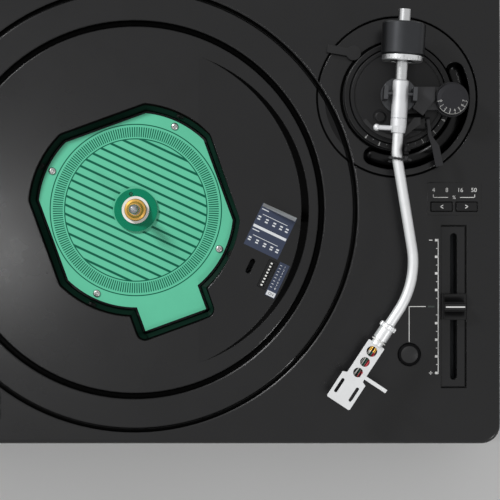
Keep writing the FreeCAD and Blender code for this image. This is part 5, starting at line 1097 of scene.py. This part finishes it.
@dataclass
class Plinth(Assembly):
    """Deck, lower housing, bottom cover, screws and feet."""

    cover_screw: float = 2.9
    cover_rise: float = 1.3
    foot_pad: float = 6.0

    def dress(self) -> None:
        """Give the housings and feet their finishes."""
        # Grooves and the scoop round the spindle and the pivot that the deck paints as shade: middle, radius, half
        # width, level and share.
        rounds = (
            (SPINDLE, 140.7, 1.65, 96.4, 1.0),
            (SPINDLE, 166.5, 0.95, 99.0, 1.0),
            (PIVOT, 59.9, 0.8, 99.0, 1.0),
            (PIVOT, 41.6, 1.1, 99.0, 1.0),
            (PIVOT, 47.6, 6.6, 98.0, 0.5),
        )
        dress(DeckPlastic(linear(20, 20, 21), rounds), "deck_shell")
        dress(Moulded("housing_rubber", linear(25, 25, 26), 0.62, 0.2, 0.8, 0.012, 0.8, 0.3),
              "base_housing")
        dress(BareMetal("cover_sheet", linear(92, 94, 96), 0.46, Lay.ALONG, axis=(1, 0, 0)), "bottom_cover")
        feet = [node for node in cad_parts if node.startswith("foot_")]
        level = min(box_of(node)[0].z for node in feet) + self.foot_pad
        foot = Layered("foot_rubber", linear(30, 30, 31), linear(52, 52, 54), level, low_rough=0.75)
        dress(foot, *feet)

    def build(self) -> None:
        """Make the screws that hold the bottom cover."""
        steel = BareMetal("blackened_steel", linear(70, 71, 74), 0.36).make()
        piece = Workpiece("cover_screws")
        for low, high in solids("base_screws"):
            middle = (low + high) / 2
            seat = Matrix.Translation((middle.x, middle.y, low.z + self.cover_rise))
            head = cross_head(self.cover_screw, self.cover_rise, RECESS)
            piece.add(head, steel, seat @ Matrix.Rotation(math.pi, 4, "X"))
            shank = turned([(0, 0), (1.5, 0), (1.5, high.z - low.z - 3), (0, high.z - low.z - 1.5)], 16)
            piece.add(shank, steel, seat)
        piece.finish("plinth", "screw_steel", "base_screws")


@dataclass
class MotorBay(Assembly):
    """Motor board in the well, the spindle's seat and what hangs below them."""

    head_radius: float = 2.9
    head_rise: float = 1.45
    thread_pitch: float = 0.7
    first_slot: float = 23
    slot_step: float = 31

    def dress(self) -> None:
        """Give the motor's pieces their finishes."""
        centre = middle_of("spindle_shaft")
        middle = (centre.x, centre.y, 0.0)
        dress(BoardLacquer((centre.x, centre.y)), "motor_board")
        dress(Moulded("centre_film", linear(0, 122, 88), 0.3, 0.1, 0.9, 0.006, 0.3, 0.2), "centre_disc")
        dress(Moulded("white_nylon", linear(230, 231, 230), 0.34, 0.3, 0.6, 0.004, 0.2, 0.1), "spacer_ring")
        dress(BareMetal("hub_brass", linear(206, 160, 76), 0.4, Lay.ROUND, middle, metallic=0.6), "platter_hub")
        dress(BareMetal("spindle_steel", linear(138, 140, 142), 0.24, Lay.ROUND, middle, deep=0.001),
              "spindle_shaft")
        dress(WoundCopper(), "stator_coils")
        dress(BareMetal("bearing_bronze", linear(58, 46, 32), 0.4, Lay.ROUND, middle), "bearing_housing")
        bracket = BareMetal("bracket_black", linear(17, 17, 18), 0.6, Lay.CAST, metallic=0.0, deep=0.01)
        dress(bracket, "motor_bracket")

    def build(self) -> None:
        """Make the board's four domed screws with their cross recess and thread."""
        steel = BareMetal("screw_nickel", linear(158, 160, 158), 0.3).make()
        piece = Workpiece("board_cross_screws")
        for number, (low, high) in enumerate(solids("board_screws")):
            middle = (low + high) / 2
            seat = high.z - self.head_rise
            spin = Matrix.Rotation(math.radians(self.first_slot + self.slot_step * number), 4, "Z")
            place = Matrix.Translation((middle.x, middle.y, seat)) @ spin
            piece.add(cross_head(self.head_radius, self.head_rise, RECESS), steel, place)
            long = seat - low.z
            thread: list[Pair] = [(0, 0), (0.9, 0.3)]
            turns = int((long - 1.0) / self.thread_pitch)
            for turn in range(turns):
                at = turn * self.thread_pitch
                thread += [(1.45, 0.5 + at), (1.15, 0.85 + at)]
            thread += [(1.2, long), (0, long)]
            piece.add(turned(thread, 16), steel, Matrix.Translation((middle.x, middle.y, low.z)))
        piece.finish("plinth", "screw_steel", "board_screws")


@dataclass
class SetupCorner(Assembly):
    """Setup switch, the plain labels beside it and their printed bars."""

    sheet: Pair = (52.2, -16.2)
    sheet_size: Pair = (28.4, 34.3)
    strip: Pair = (57.4, -53.4)
    strip_size: Pair = (8.0, 27.5)
    turn: float = -25.6
    slider_pitch: float = 2.54

    def dress(self) -> None:
        """Give the switch and the labels their finishes."""
        dress(Moulded("label_film", linear(52, 60, 80), 0.34, 0.25, 0.7, 0.002, 0.1, 0.0), "deck_labels")
        dress(Moulded("switch_black", linear(14, 14, 16), 0.36, 0.2, 0.4, 0.003, 0.2, 0.3), "dip_switch_body")
        dress(Moulded("slider_white", linear(232, 232, 228), 0.35, 0.5, 0.4, 0.002, 0.12, 0.1), "dip_sliders")

    def build(self) -> None:
        """Print the plain bars of the label, and the strip's tag and figures."""
        white = Ink("label_white", linear(222, 225, 228)).make()
        marks = Stencil("label_print", "deck_labels", white)
        wide, long = self.sheet_size
        marks.at(*self.sheet, OVER_DECK, self.turn)

        def row(first: float, last: float, left: float, right: float) -> None:
            """Print one bar, given in shares of the sheet from its top left."""
            marks.bar(
                (left - 0.5) * wide, (0.5 - last) * long, (right - 0.5) * wide, (0.5 - first) * long,
            )

        row(0.0, 0.075, 0.02, 0.98)
        row(0.115, 0.135, 0.04, 0.24)
        row(0.225, 0.237, 0.12, 0.85)
        row(0.5, 0.56, 0.02, 0.98)
        row(0.605, 0.625, 0.04, 0.24)
        row(0.725, 0.737, 0.12, 0.85)
        for middle in (0.08, 0.3, 0.52, 0.72, 0.89):
            for top in (0.29, 0.35, 0.79, 0.845):
                row(top, top + 0.03, middle - 0.04, middle + 0.04)
        strip_wide, strip_long = self.strip_size
        marks.at(*self.strip, OVER_DECK, self.turn)
        marks.bar(-strip_wide / 2 + 0.5, -strip_long / 2 + 0.5, strip_wide / 2 - 0.5, -strip_long / 2 + 4.2)
        for number in range(8):
            down = number * self.slider_pitch
            marks.sign(str(number + 1), 1.2, strip_long / 2 - 2.4 - down, 1.5)
            marks.bar(-2.9, strip_long / 2 - 2.6 - down, -1.3, strip_long / 2 - 2.2 - down)
        marks.finish("plinth", "label_film")
        black = Ink("label_black", linear(34, 36, 40)).make()
        tag = Stencil("tag_print", "deck_labels", black, 0.09)
        tag.at(*self.strip, OVER_DECK, self.turn)
        tag.sign("ON", 0.0, -strip_long / 2 + 2.35, 1.9)
        tag.finish("plinth", "label_film")


@dataclass
class FaderPanel(Assembly):
    """Pitch fader, its scale, the reset button and the range buttons."""

    line_x: float = 178.2
    middle_y: float = -72.9
    step: float = 12.47
    sign_x: float = 172.6
    reset_x: float = 156.4
    reset_y: float = -99.5
    dish_deep: float = 2.3

    def dress(self) -> None:
        """Give the controls their finishes."""
        dress(Moulded("fader_black", linear(16, 16, 17), 0.32, 0.22, 0.4, 0.003, 0.35, 0.4), "fader_cap")
        dress(Moulded("button_black", linear(18, 18, 19), 0.3, 0.2, 0.5, 0.003, 0.4, 0.0),
              "reset_button", "range_button_left", "range_button_right")
        dress(Layered("fader_track_steel", linear(70, 72, 74), linear(18, 18, 18), 93.5, low_metal=1.0),
              "fader_track")

    def build(self) -> None:
        """Print the scale, the range's figures, and the marks on the caps."""
        white = Ink("print_white", linear(226, 226, 224)).make()
        marks = Stencil("scale_print", "deck_shell", white)
        marks.at(0, 0, OVER_DECK)
        half = 4 * self.step
        marks.bar(self.line_x - 0.3, self.middle_y - half - 0.8, self.line_x + 0.3, self.middle_y + half + 0.8)
        for number in range(-8, 9):
            y = self.middle_y + number * self.step / 2
            if number % 2:
                marks.bar(self.line_x - 1.6, y - 0.25, self.line_x, y + 0.25)
            elif number:
                marks.bar(self.line_x - 2.4, y - 0.9, self.line_x, y + 0.9)
        top, bottom = self.middle_y + half, self.middle_y - half
        marks.bar(self.sign_x - 1.3, top - 0.3, self.sign_x + 1.3, top + 0.3)
        marks.bar(self.sign_x - 1.3, bottom - 0.3, self.sign_x + 1.3, bottom + 0.3)
        marks.bar(self.sign_x - 0.3, bottom - 1.3, self.sign_x + 0.3, bottom + 1.3)
        marks.bar(self.reset_x - 0.25, self.reset_y, self.reset_x + 0.25, self.middle_y + 0.25)
        marks.bar(self.reset_x, self.middle_y - 0.25, 168.9, self.middle_y + 0.25)
        for text, x in (("4", 174.7), ("8", 184.7), ("16", 195.1), ("50", 205.1)):
            marks.sign(text, x, 14.7, 3.1)
        bracket = ((174.3, 185.6, 9.35), (194.6, 205.9, 9.35), (174.3, 174.8, 11.3), (205.4, 205.9, 11.3))
        for left, right, high in bracket:
            marks.bar(left, 8.85, right, high)
        marks.sign("%", 190.1, 9.2, 2.6)
        marks.finish("plinth", "label_film")

        lens = Workpiece("centre_lamp")
        glass = Moulded("lamp_lens", linear(20, 34, 28), 0.12, 0.6, 0.8, 0.002, 0.2, 0.2).make()
        lens.add(block(5.4, 1.5, 0.9, 0.25), glass, Matrix.Translation((173.0, self.middle_y, 99.35)))
        lens.finish("plinth", "gloss_black")

        for node, tip in (("range_button_left", -1), ("range_button_right", 1)):
            centre = middle_of(node)
            arrow = Stencil(f"{node}_print", node, white)
            arrow.at(centre.x, centre.y, OVER_KEYS)
            for side in (-1, 1):
                arrow.stroke((-tip * 1.0, side * 1.15), (tip * 1.0, 0), 0.6)
            arrow.finish(node, "label_film")
        self._reset_button()
        cap = middle_of("fader_cap")
        line = Stencil("fader_line_print", "fader_cap", white)
        line.at(cap.x, cap.y, OVER_CAPS)
        line.bar(-7.2, -0.5, 7.2, 0.5)
        line.finish("fader_cap", "label_film")

    def _reset_button(self) -> None:
        """Make the reset button with its flange, rounded rim and finger dish, the flange and rim painted darker
        than the dish as painted shade round the button.
        """
        low, high = box_of("reset_button")
        centre = (low + high) / 2
        flange = (high.x - low.x) / 2
        rim, lip = flange - 1.5, low.z + 1.6
        dish, top = rim - 0.3, high.z - 0.5
        floor = []
        for step in range(9):
            share = step / 8
            floor.append((dish * (1 - share), top - 0.3 - self.dish_deep * math.sin(share * math.pi / 2)))
        profile = [(0, low.z), (flange, low.z), (flange, lip), (rim, lip), (rim, top - 0.9),
                   (rim - 0.1, top - 0.45), floor[0], (0, floor[0][1] - 2.8)]
        floor += [(0, floor[-1][1] - 0.1), (dish, floor[0][1] - 0.1)]
        black = (0.5, 0.003, 0.3, 0.0)
        # Painted shade: the flange and rim are near black and less glossy, for the dark ring round the button.
        shaded_rim = Moulded("reset_rim_painted_shade", linear(9, 9, 10), 0.5, 0.05, *black)
        dish_black = Moulded("reset_black", linear(24, 24, 25), 0.34, 0.3, *black)
        piece = Workpiece("reset_cap")
        place = Matrix.Translation((centre.x, centre.y, 0.0))
        for shape, finish in ((profile, shaded_rim), (floor, dish_black)):
            piece.add(turned(shape, 72), finish.make(), place)
        piece.finish("reset_button", "gloss_black", "reset_button", sharp=50.0)


@dataclass
class Controls(Assembly):
    """Start button, speed buttons and power knob at the left."""

    def dress(self) -> None:
        """Give the left controls their finishes."""
        dress(BareMetal("start_alu", linear(168, 170, 172), 0.3, Lay.ALONG, axis=(1, 0, 0)),
              "start_stop_button")
        dress(Moulded("speed_black", linear(22, 22, 23), 0.32, 0.25, 0.5, 0.003, 0.4, 0.4),
              "speed_button_33", "speed_button_45")
        centre = middle_of("power_knob")
        knob = BareMetal("knob_black_alu", linear(58, 59, 61), 0.3, Lay.ROUND, (centre.x, centre.y, 0.0))
        dress(knob, "power_knob")

    def build(self) -> None:
        """Print the speeds and the knob's pointer."""
        white = Ink("control_white", linear(224, 224, 222)).make()
        for speed in ("33", "45"):
            node = f"speed_button_{speed}"
            centre = middle_of(node)
            marks = Stencil(f"{node}_print", node, white)
            marks.at(centre.x, centre.y, OVER_KEYS)
            marks.sign(speed, 0, 0, 3.2)
            marks.finish(node, "label_film")


@dataclass
class ArmBase(Assembly):
    """Height ring, platform, anti-skating dial, cueing and rest."""

    first_figure: float = -28.1
    figure_step: float = -16.64
    tick_radius: float = 37.3
    figure_radius: float = 38.8
    dial_figures: int = 8
    dial_first: float = 190
    dial_step: float = 22.86

    def dress(self) -> None:
        """Give the pieces of the arm's base their finishes."""
        dress(Moulded("mount_black", linear(20, 20, 21), 0.36, 0.2, 0.6, 0.004, 0.4, 0.35),
              "arm_mount_base", "lifter_block")
        dress(Moulded("rest_black", linear(12, 12, 13), 0.4, 0.15, 0.5, 0.003, 0.3, 0.2),
              "arm_rest", "rest_clip")
        dress(Moulded("skate_cover", linear(40, 40, 42), 0.42, 0.3, 0.5, 0.003, 0.4, 0.3),
              "anti_skate_housing")
        dress(Moulded("ring_black", linear(14, 14, 15), 0.3, 0.2, 0.5, 0.003, 0.35, 0.5), "height_ring")
        dress(Moulded("platform_black", linear(18, 18, 19), 0.36, 0.2, 0.5, 0.003, 0.4, 0.4), "arm_platform")
        dial = middle_of("anti_skate_dial")
        dial_face = BareMetal("dial_black_alu", linear(46, 46, 48), 0.4, Lay.ROUND, (dial.x, dial.y, 0.0))
        dress(dial_face, "anti_skate_dial")
        dress(Moulded("lifter_black", linear(20, 20, 21), 0.4, 0.3, 0.4, 0.003, 0.4, 0.2), "lifter_bar")
        dress(Moulded("lever_black", linear(27, 27, 29), 0.4, 0.25, 0.5, 0.003, 0.3, 0.3), "cue_lever")
        dress(Moulded("lock_black", linear(22, 22, 23), 0.4, 0.25, 0.5, 0.004, 0.4, 0.4), "height_lock_lever")

    def build(self) -> None:
        """Print the scales of the height ring and the anti-skating dial."""
        white = Ink("scale_white", linear(222, 222, 220)).make()
        ring = Stencil("height_scale_print", "height_ring", white)

        def round_pivot(radius: float, angle: float) -> Pair:
            """Return the point at a radius and an angle about the pivot."""
            return PIVOT[0] + radius * math.cos(angle), PIVOT[1] + radius * math.sin(angle)

        for number in range(13):
            angle = self.first_figure + number * self.figure_step / 2
            spoke = math.radians(angle)
            x, y = round_pivot(self.tick_radius, spoke)
            ring.at(x, y, OVER_CAPS, angle)
            long = 0.4 if number % 2 else 1.0
            ring.bar(-long / 2, -0.14, long / 2, 0.14)
            if number % 2 == 0:
                x, y = round_pivot(self.figure_radius, spoke)
                ring.at(x, y, OVER_CAPS, angle + 90)
                ring.sign(str(number // 2), 0, 0, 1.8)
        ring.finish("height_ring", "label_film")
        dial = middle_of("anti_skate_dial")
        grey = Ink("scale_grey", linear(196, 196, 192)).make()
        scale = Stencil("skate_scale_print", "anti_skate_dial", grey)
        scale.at(dial.x, dial.y, OVER_DIAL)
        scale.arc(11.3, 0.28, 215, 350)
        for number in range(self.dial_figures):
            angle = self.dial_first + number * self.dial_step
            spoke = math.radians(angle)
            scale.at(dial.x + 8.6 * math.cos(spoke), dial.y + 8.6 * math.sin(spoke), OVER_DIAL, angle + 90)
            scale.sign(str(number), 0, 0, 2.0)
            scale.at(dial.x, dial.y, OVER_DIAL, angle)
            scale.bar(9.9, -0.2, 11.0, 0.2)
        scale.finish("anti_skate_dial", "label_film")


@dataclass
class Tonearm(Assembly):
    """Pivot housing, bent tube and the twisted tie that holds it parked."""

    height: float = 132.0
    tube: float = 3.85
    wire: float = 0.55

    def dress(self) -> None:
        """Give the arm its metal finishes."""
        centre = middle_of("pivot_housing")
        dress(BareMetal("arm_satin", linear(214, 215, 216), 0.4, Lay.CAST, metallic=0.5, deep=0.002),
              "arm_tube")
        housing = BareMetal("housing_alu", linear(206, 207, 209), 0.4, Lay.ALONG, tuple(centre), ARM_RUN, 0.5)
        dress(housing, "pivot_housing")
        dress(BareMetal("yoke_alu", linear(70, 71, 73), 0.34, Lay.CAST), "gimbal_yoke")

    def build(self) -> None:
        """Make the twist tie: two strands round the tube, twisted on into a knot and a tail."""
        sheath = TwistedSheath().make()
        along = Vector(ARM_RUN)
        right = Vector((-along.y, along.x, 0.0))
        up = Vector((0, 0, 1))
        at = middle_of("arm_tie")
        at = Vector((at.x, at.y, self.height))
        at += right * (-(at - self._on_axis(at)).dot(right))
        reach = self.tube + self.wire * 1.9

        def wrapped(share: float, start: float) -> Vector:
            """Return a point of a strand that goes round the tube."""
            angle = -0.15 - share * (math.tau * 1.5 - 0.3)
            twist = start + share * math.tau * 9
            swing = reach + 0.55 * math.cos(twist)
            drift = (share - 0.5) * 4.6 + 0.55 * math.sin(twist)
            return at + (right * math.cos(angle) + up * math.sin(angle)) * swing + along * drift

        def trailing(share: float, start: float) -> Vector:
            """Return a point of a strand of the tail."""
            twist = start + share * math.tau * 2.5
            out = reach - 0.6 + share * 6.4
            sag = up * (0.9 * math.cos(twist) * (1 - share * 0.4) - share * 1.2)
            side = along * (0.9 * math.sin(twist) * (1 - share * 0.4) - 1.4 + share * 1.6)
            return at + right * out + sag + side

        def knotted(share: float, start: float) -> Vector:
            """Return a point of the knot."""
            twist = start + share * math.tau * 2.0
            return (at + right * (reach + 0.9 + share * 2.0)
                    + up * 1.55 * math.cos(twist) + along * (1.55 * math.sin(twist) - 1.0))

        piece = Workpiece("twist_tie")
        pair = (0.0, math.pi)
        for path, steps, starts in ((wrapped, 96, pair), (trailing, 36, pair), (knotted, 40, (0.0,))):
            for start in starts:
                line = [path(step / steps, start) for step in range(steps + 1)]
                piece.add(strand(line, self.wire), sheath)
        piece.finish("tonearm", "tie_wire", "arm_tie", sharp=60.0)

    def _on_axis(self, place: Vector) -> Vector:
        """Return the point of the arm's axis that is nearest to a place."""
        root, along = Vector((*PIVOT, self.height)), Vector(ARM_RUN)
        return root + along * (place - root).dot(along)


@dataclass
class Headshell(Assembly):
    """Lock collar, gasket, headshell with its lift, contacts and leads."""

    along: Place = (-0.549023, -0.835807, 0.0)
    step: float = 1.75

    def dress(self) -> None:
        """Give the headshell's pieces their finishes."""
        collar = middle_of("headshell_collar")
        dress(BareMetal("collar_alu", linear(210, 211, 212), 0.36, Lay.ROUND, tuple(collar), self.along, 0.6),
              "headshell_collar")
        dress(Moulded("gasket_white", linear(226, 226, 222), 0.4, 0.4, 0.5, 0.004, 0.15, 0.0),
              "headshell_gasket")
        shell = middle_of("headshell")
        dress(BareMetal("shell_alu", linear(214, 215, 216), 0.38, Lay.CAST, deep=0.004, metallic=0.5),
              "headshell")
        lift = BareMetal("lift_alu", linear(216, 217, 218), 0.36, Lay.ALONG, tuple(shell), (0.84, -0.55, 0.0), 0.5)
        dress(lift, "finger_lift")
        dress(BareMetal("contact_gold", linear(222, 176, 84), 0.2, Lay.ALONG, tuple(shell), self.along),
              "headshell_pins")
        leads = middle_of("headshell_wires")
        along = Vector(self.along)
        spans = [(Vector(corner) - leads).dot(along) for corner in box_of("headshell_wires")]
        reach = max(abs(span) for span in spans) - 3.0
        across = (-along.y, along.x, 0.0)
        dress(LeadSheaths(tuple(leads), self.along, across, self.step, (-reach, reach)), "headshell_wires")


@dataclass
class Counterbalance(Assembly):
    """Rear shaft, bush, counterweight and force dial."""

    steps: int = 8

    def dress(self) -> None:
        """Give the balance its finishes."""
        centre = tuple(middle_of("counterweight"))
        dress(BareMetal("weight_black", linear(54, 55, 57), 0.34, Lay.ROUND, centre, ARM_RUN),
              "counterweight")
        dress(BareMetal("force_dial_alu", linear(196, 197, 198), 0.3, Lay.ROUND, centre, ARM_RUN),
              "force_dial")
        dress(BareMetal("rear_shaft_steel", linear(176, 177, 178), 0.28, Lay.ROUND, centre, ARM_RUN),
              "rear_shaft")
        dress(Moulded("bush_black", linear(26, 26, 27), 0.42, 0.4, 0.5, 0.004, 0.2, 0.2), "weight_bush")

    def build(self) -> None:
        """Print the force scale round the dial."""
        black = Ink("dial_ink", linear(26, 26, 28)).make()
        marks = Stencil("force_scale_print", "force_dial", black)
        low, high = box_of("force_dial")
        centre = (low + high) / 2
        along = Vector(ARM_RUN)
        right = Vector((-along.y, along.x, 0.0))
        for number in range(self.steps * 5):
            angle = math.tau * number / (self.steps * 5)
            out = right * math.cos(angle) + Vector((0, 0, 1)) * math.sin(angle)
            side = out.cross(along)
            tilt = Matrix((side, along, out)).transposed().to_4x4()
            start = centre + out * 30.0
            marks.at(*start, tilt=tilt)
            major = number % 5 == 0
            marks.bar(-0.14, 0.7, 0.14, 1.5 if major else 1.1)
            if major:
                text = str(number // 10) if number % 10 == 0 else ".5"
                marks.sign(text, 0, -0.5, 1.6)
        marks.finish("force_dial", "label_film")


@dataclass
class Insides(Assembly):
    """Control board and transformer inside the housing."""

    def dress(self) -> None:
        """Give the inner pieces their finishes."""
        low, _ = box_of("control_board")
        dress(CircuitSheet("control_lacquer", low.z + 8.0), "control_board")
        low, high = box_of("transformer")
        level = low.z + (high.z - low.z) * 0.5
        core = Layered("transformer_iron", linear(96, 98, 102), linear(150, 96, 48), level, low_metal=0.9,
                       high_metal=0.6)
        dress(core, "transformer")


@dataclass
class BackPanel(Assembly):
    """Rear panel with its sockets, ground post and mains inlet."""

    def dress(self) -> None:
        """Give the back panel's pieces their finishes."""
        dress(BareMetal("panel_steel", linear(46, 47, 49), 0.42, Lay.ALONG, axis=(1, 0, 0)), "rear_panel")
        jacks = solids("audio_jacks")
        middles = tuple(((low.x + high.x) / 2, (low.z + high.z) / 2) for low, high in jacks)
        hues = (linear(188, 34, 34), linear(224, 224, 220))
        dress(Sockets(middles, hues, (1.8, 3.1)), "audio_jacks")
        post = middle_of("ground_post")
        dress(BareMetal("post_steel", linear(190, 190, 188), 0.26, Lay.ROUND, tuple(post), (0, 1, 0)),
              "ground_post")
        dress(Moulded("inlet_black", linear(22, 22, 23), 0.4, 0.4, 0.5, 0.006, 0.3, 0.3), "mains_inlet")


@dataclass
class Studio(Assembly):
    """Pale floor, soft light and the camera straight above."""

    aim: Pair = (36.8, -30.4)
    deck: float = 100.0
    away: float = 1400.0
    view: float = 375.75
    ambient: float = 0.34

    def _floor(self) -> None:
        """Lay a pale floor under the feet."""
        shader = Shader("studio_floor")
        place = shader.place()
        cloud = shader.noise(place, 220.0, 3.0)
        material = shader.surface(
            Base_Color=shader.mix(cloud, linear(238, 238, 237), linear(243, 243, 243)), Roughness=0.75,
        )
        mesh = bmesh.new()
        bmesh.ops.create_grid(mesh, x_segments=4, y_segments=4, size=4.0)
        data = bpy.data.meshes.new("studio_floor")
        mesh.to_mesh(data)
        mesh.free()
        data.materials.append(material)
        floor = bpy.data.objects.new("studio_floor", data)
        bpy.context.scene.collection.objects.link(floor)

    def _world(self) -> None:
        """Light the scene evenly, with a white background for the camera and for gloss."""
        world = bpy.data.worlds.new("studio_world")
        bpy.context.scene.world = world
        world.use_nodes = True
        nodes = Nodes(world.node_tree)
        path = nodes.node("ShaderNodeLightPath")
        seen = nodes.sock(path, "Is Camera Ray").top(nodes.sock(path, "Is Glossy Ray"))
        seen = seen.top(nodes.sock(path, "Is Transmission Ray"))
        level = nodes.value("ShaderNodeMix", None, {0: seen, 2: self.ambient, 3: 1.0})
        back = nodes.value("ShaderNodeBackground", None, {"Color": (1.0, 1.0, 1.0, 1.0), "Strength": level})
        nodes.node("ShaderNodeOutputWorld", None, {"Surface": back})

    def _lamp(self, name: str, place: Place, side: float, power: float) -> None:
        """Hang a soft square lamp that points at the object.

        Args:
            name: Name of the lamp.
            place: Where it hangs, in metres.
            side: Its side, in metres.
            power: Its power, in watts.
        """
        lamp = bpy.data.lights.new(name, "AREA")
        lamp.shape = "RECTANGLE"
        lamp.size = lamp.size_y = side
        lamp.energy = power
        holder = bpy.data.objects.new(name, lamp)
        holder.location = place
        holder.rotation_euler = (Vector(LAMP_AIM) - Vector(place)).to_track_quat("-Z", "Y").to_euler()
        bpy.context.scene.collection.objects.link(holder)

    def build(self) -> None:
        """Set up the floor, the light and the camera."""
        self._floor()
        self._world()
        self._lamp("key_lamp", (-1.2, 1.15, 1.5), 0.4, 35.0)
        self._lamp("sheen_lamp", (-0.43, -0.025, 1.9), 0.05, 1.6)
        self._lamp("edge_lamp", (1.15, -1.15, 1.4), 0.2, 7.0)
        lens = bpy.data.cameras.new("photo_camera")
        lens.sensor_width = SENSOR
        lens.lens = SENSOR * self.away / self.view
        lens.clip_start = 0.01
        lens.clip_end = 50.0
        camera = bpy.data.objects.new("photo_camera", lens)
        camera.location = (self.aim[0] * MM, self.aim[1] * MM, (self.deck + self.away) * MM)
        bpy.context.scene.collection.objects.link(camera)
        bpy.context.scene.camera = camera
        bpy.context.scene.view_settings.view_transform = "Standard"


def main() -> None:
    """Dress the frame's nodes, add the pieces that the solids lack, and light the scene."""
    logging.basicConfig(level=logging.INFO, format="%(message)s")
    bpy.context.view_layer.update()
    Studio().build()
    for part in (Plinth(), MotorBay(), SetupCorner(), FaderPanel(), Controls(), ArmBase(), Tonearm(), Headshell(),
                 Counterbalance(), Insides(), BackPanel()):
        part.dress()
        part.build()


if __name__ == "__main__":
    main()
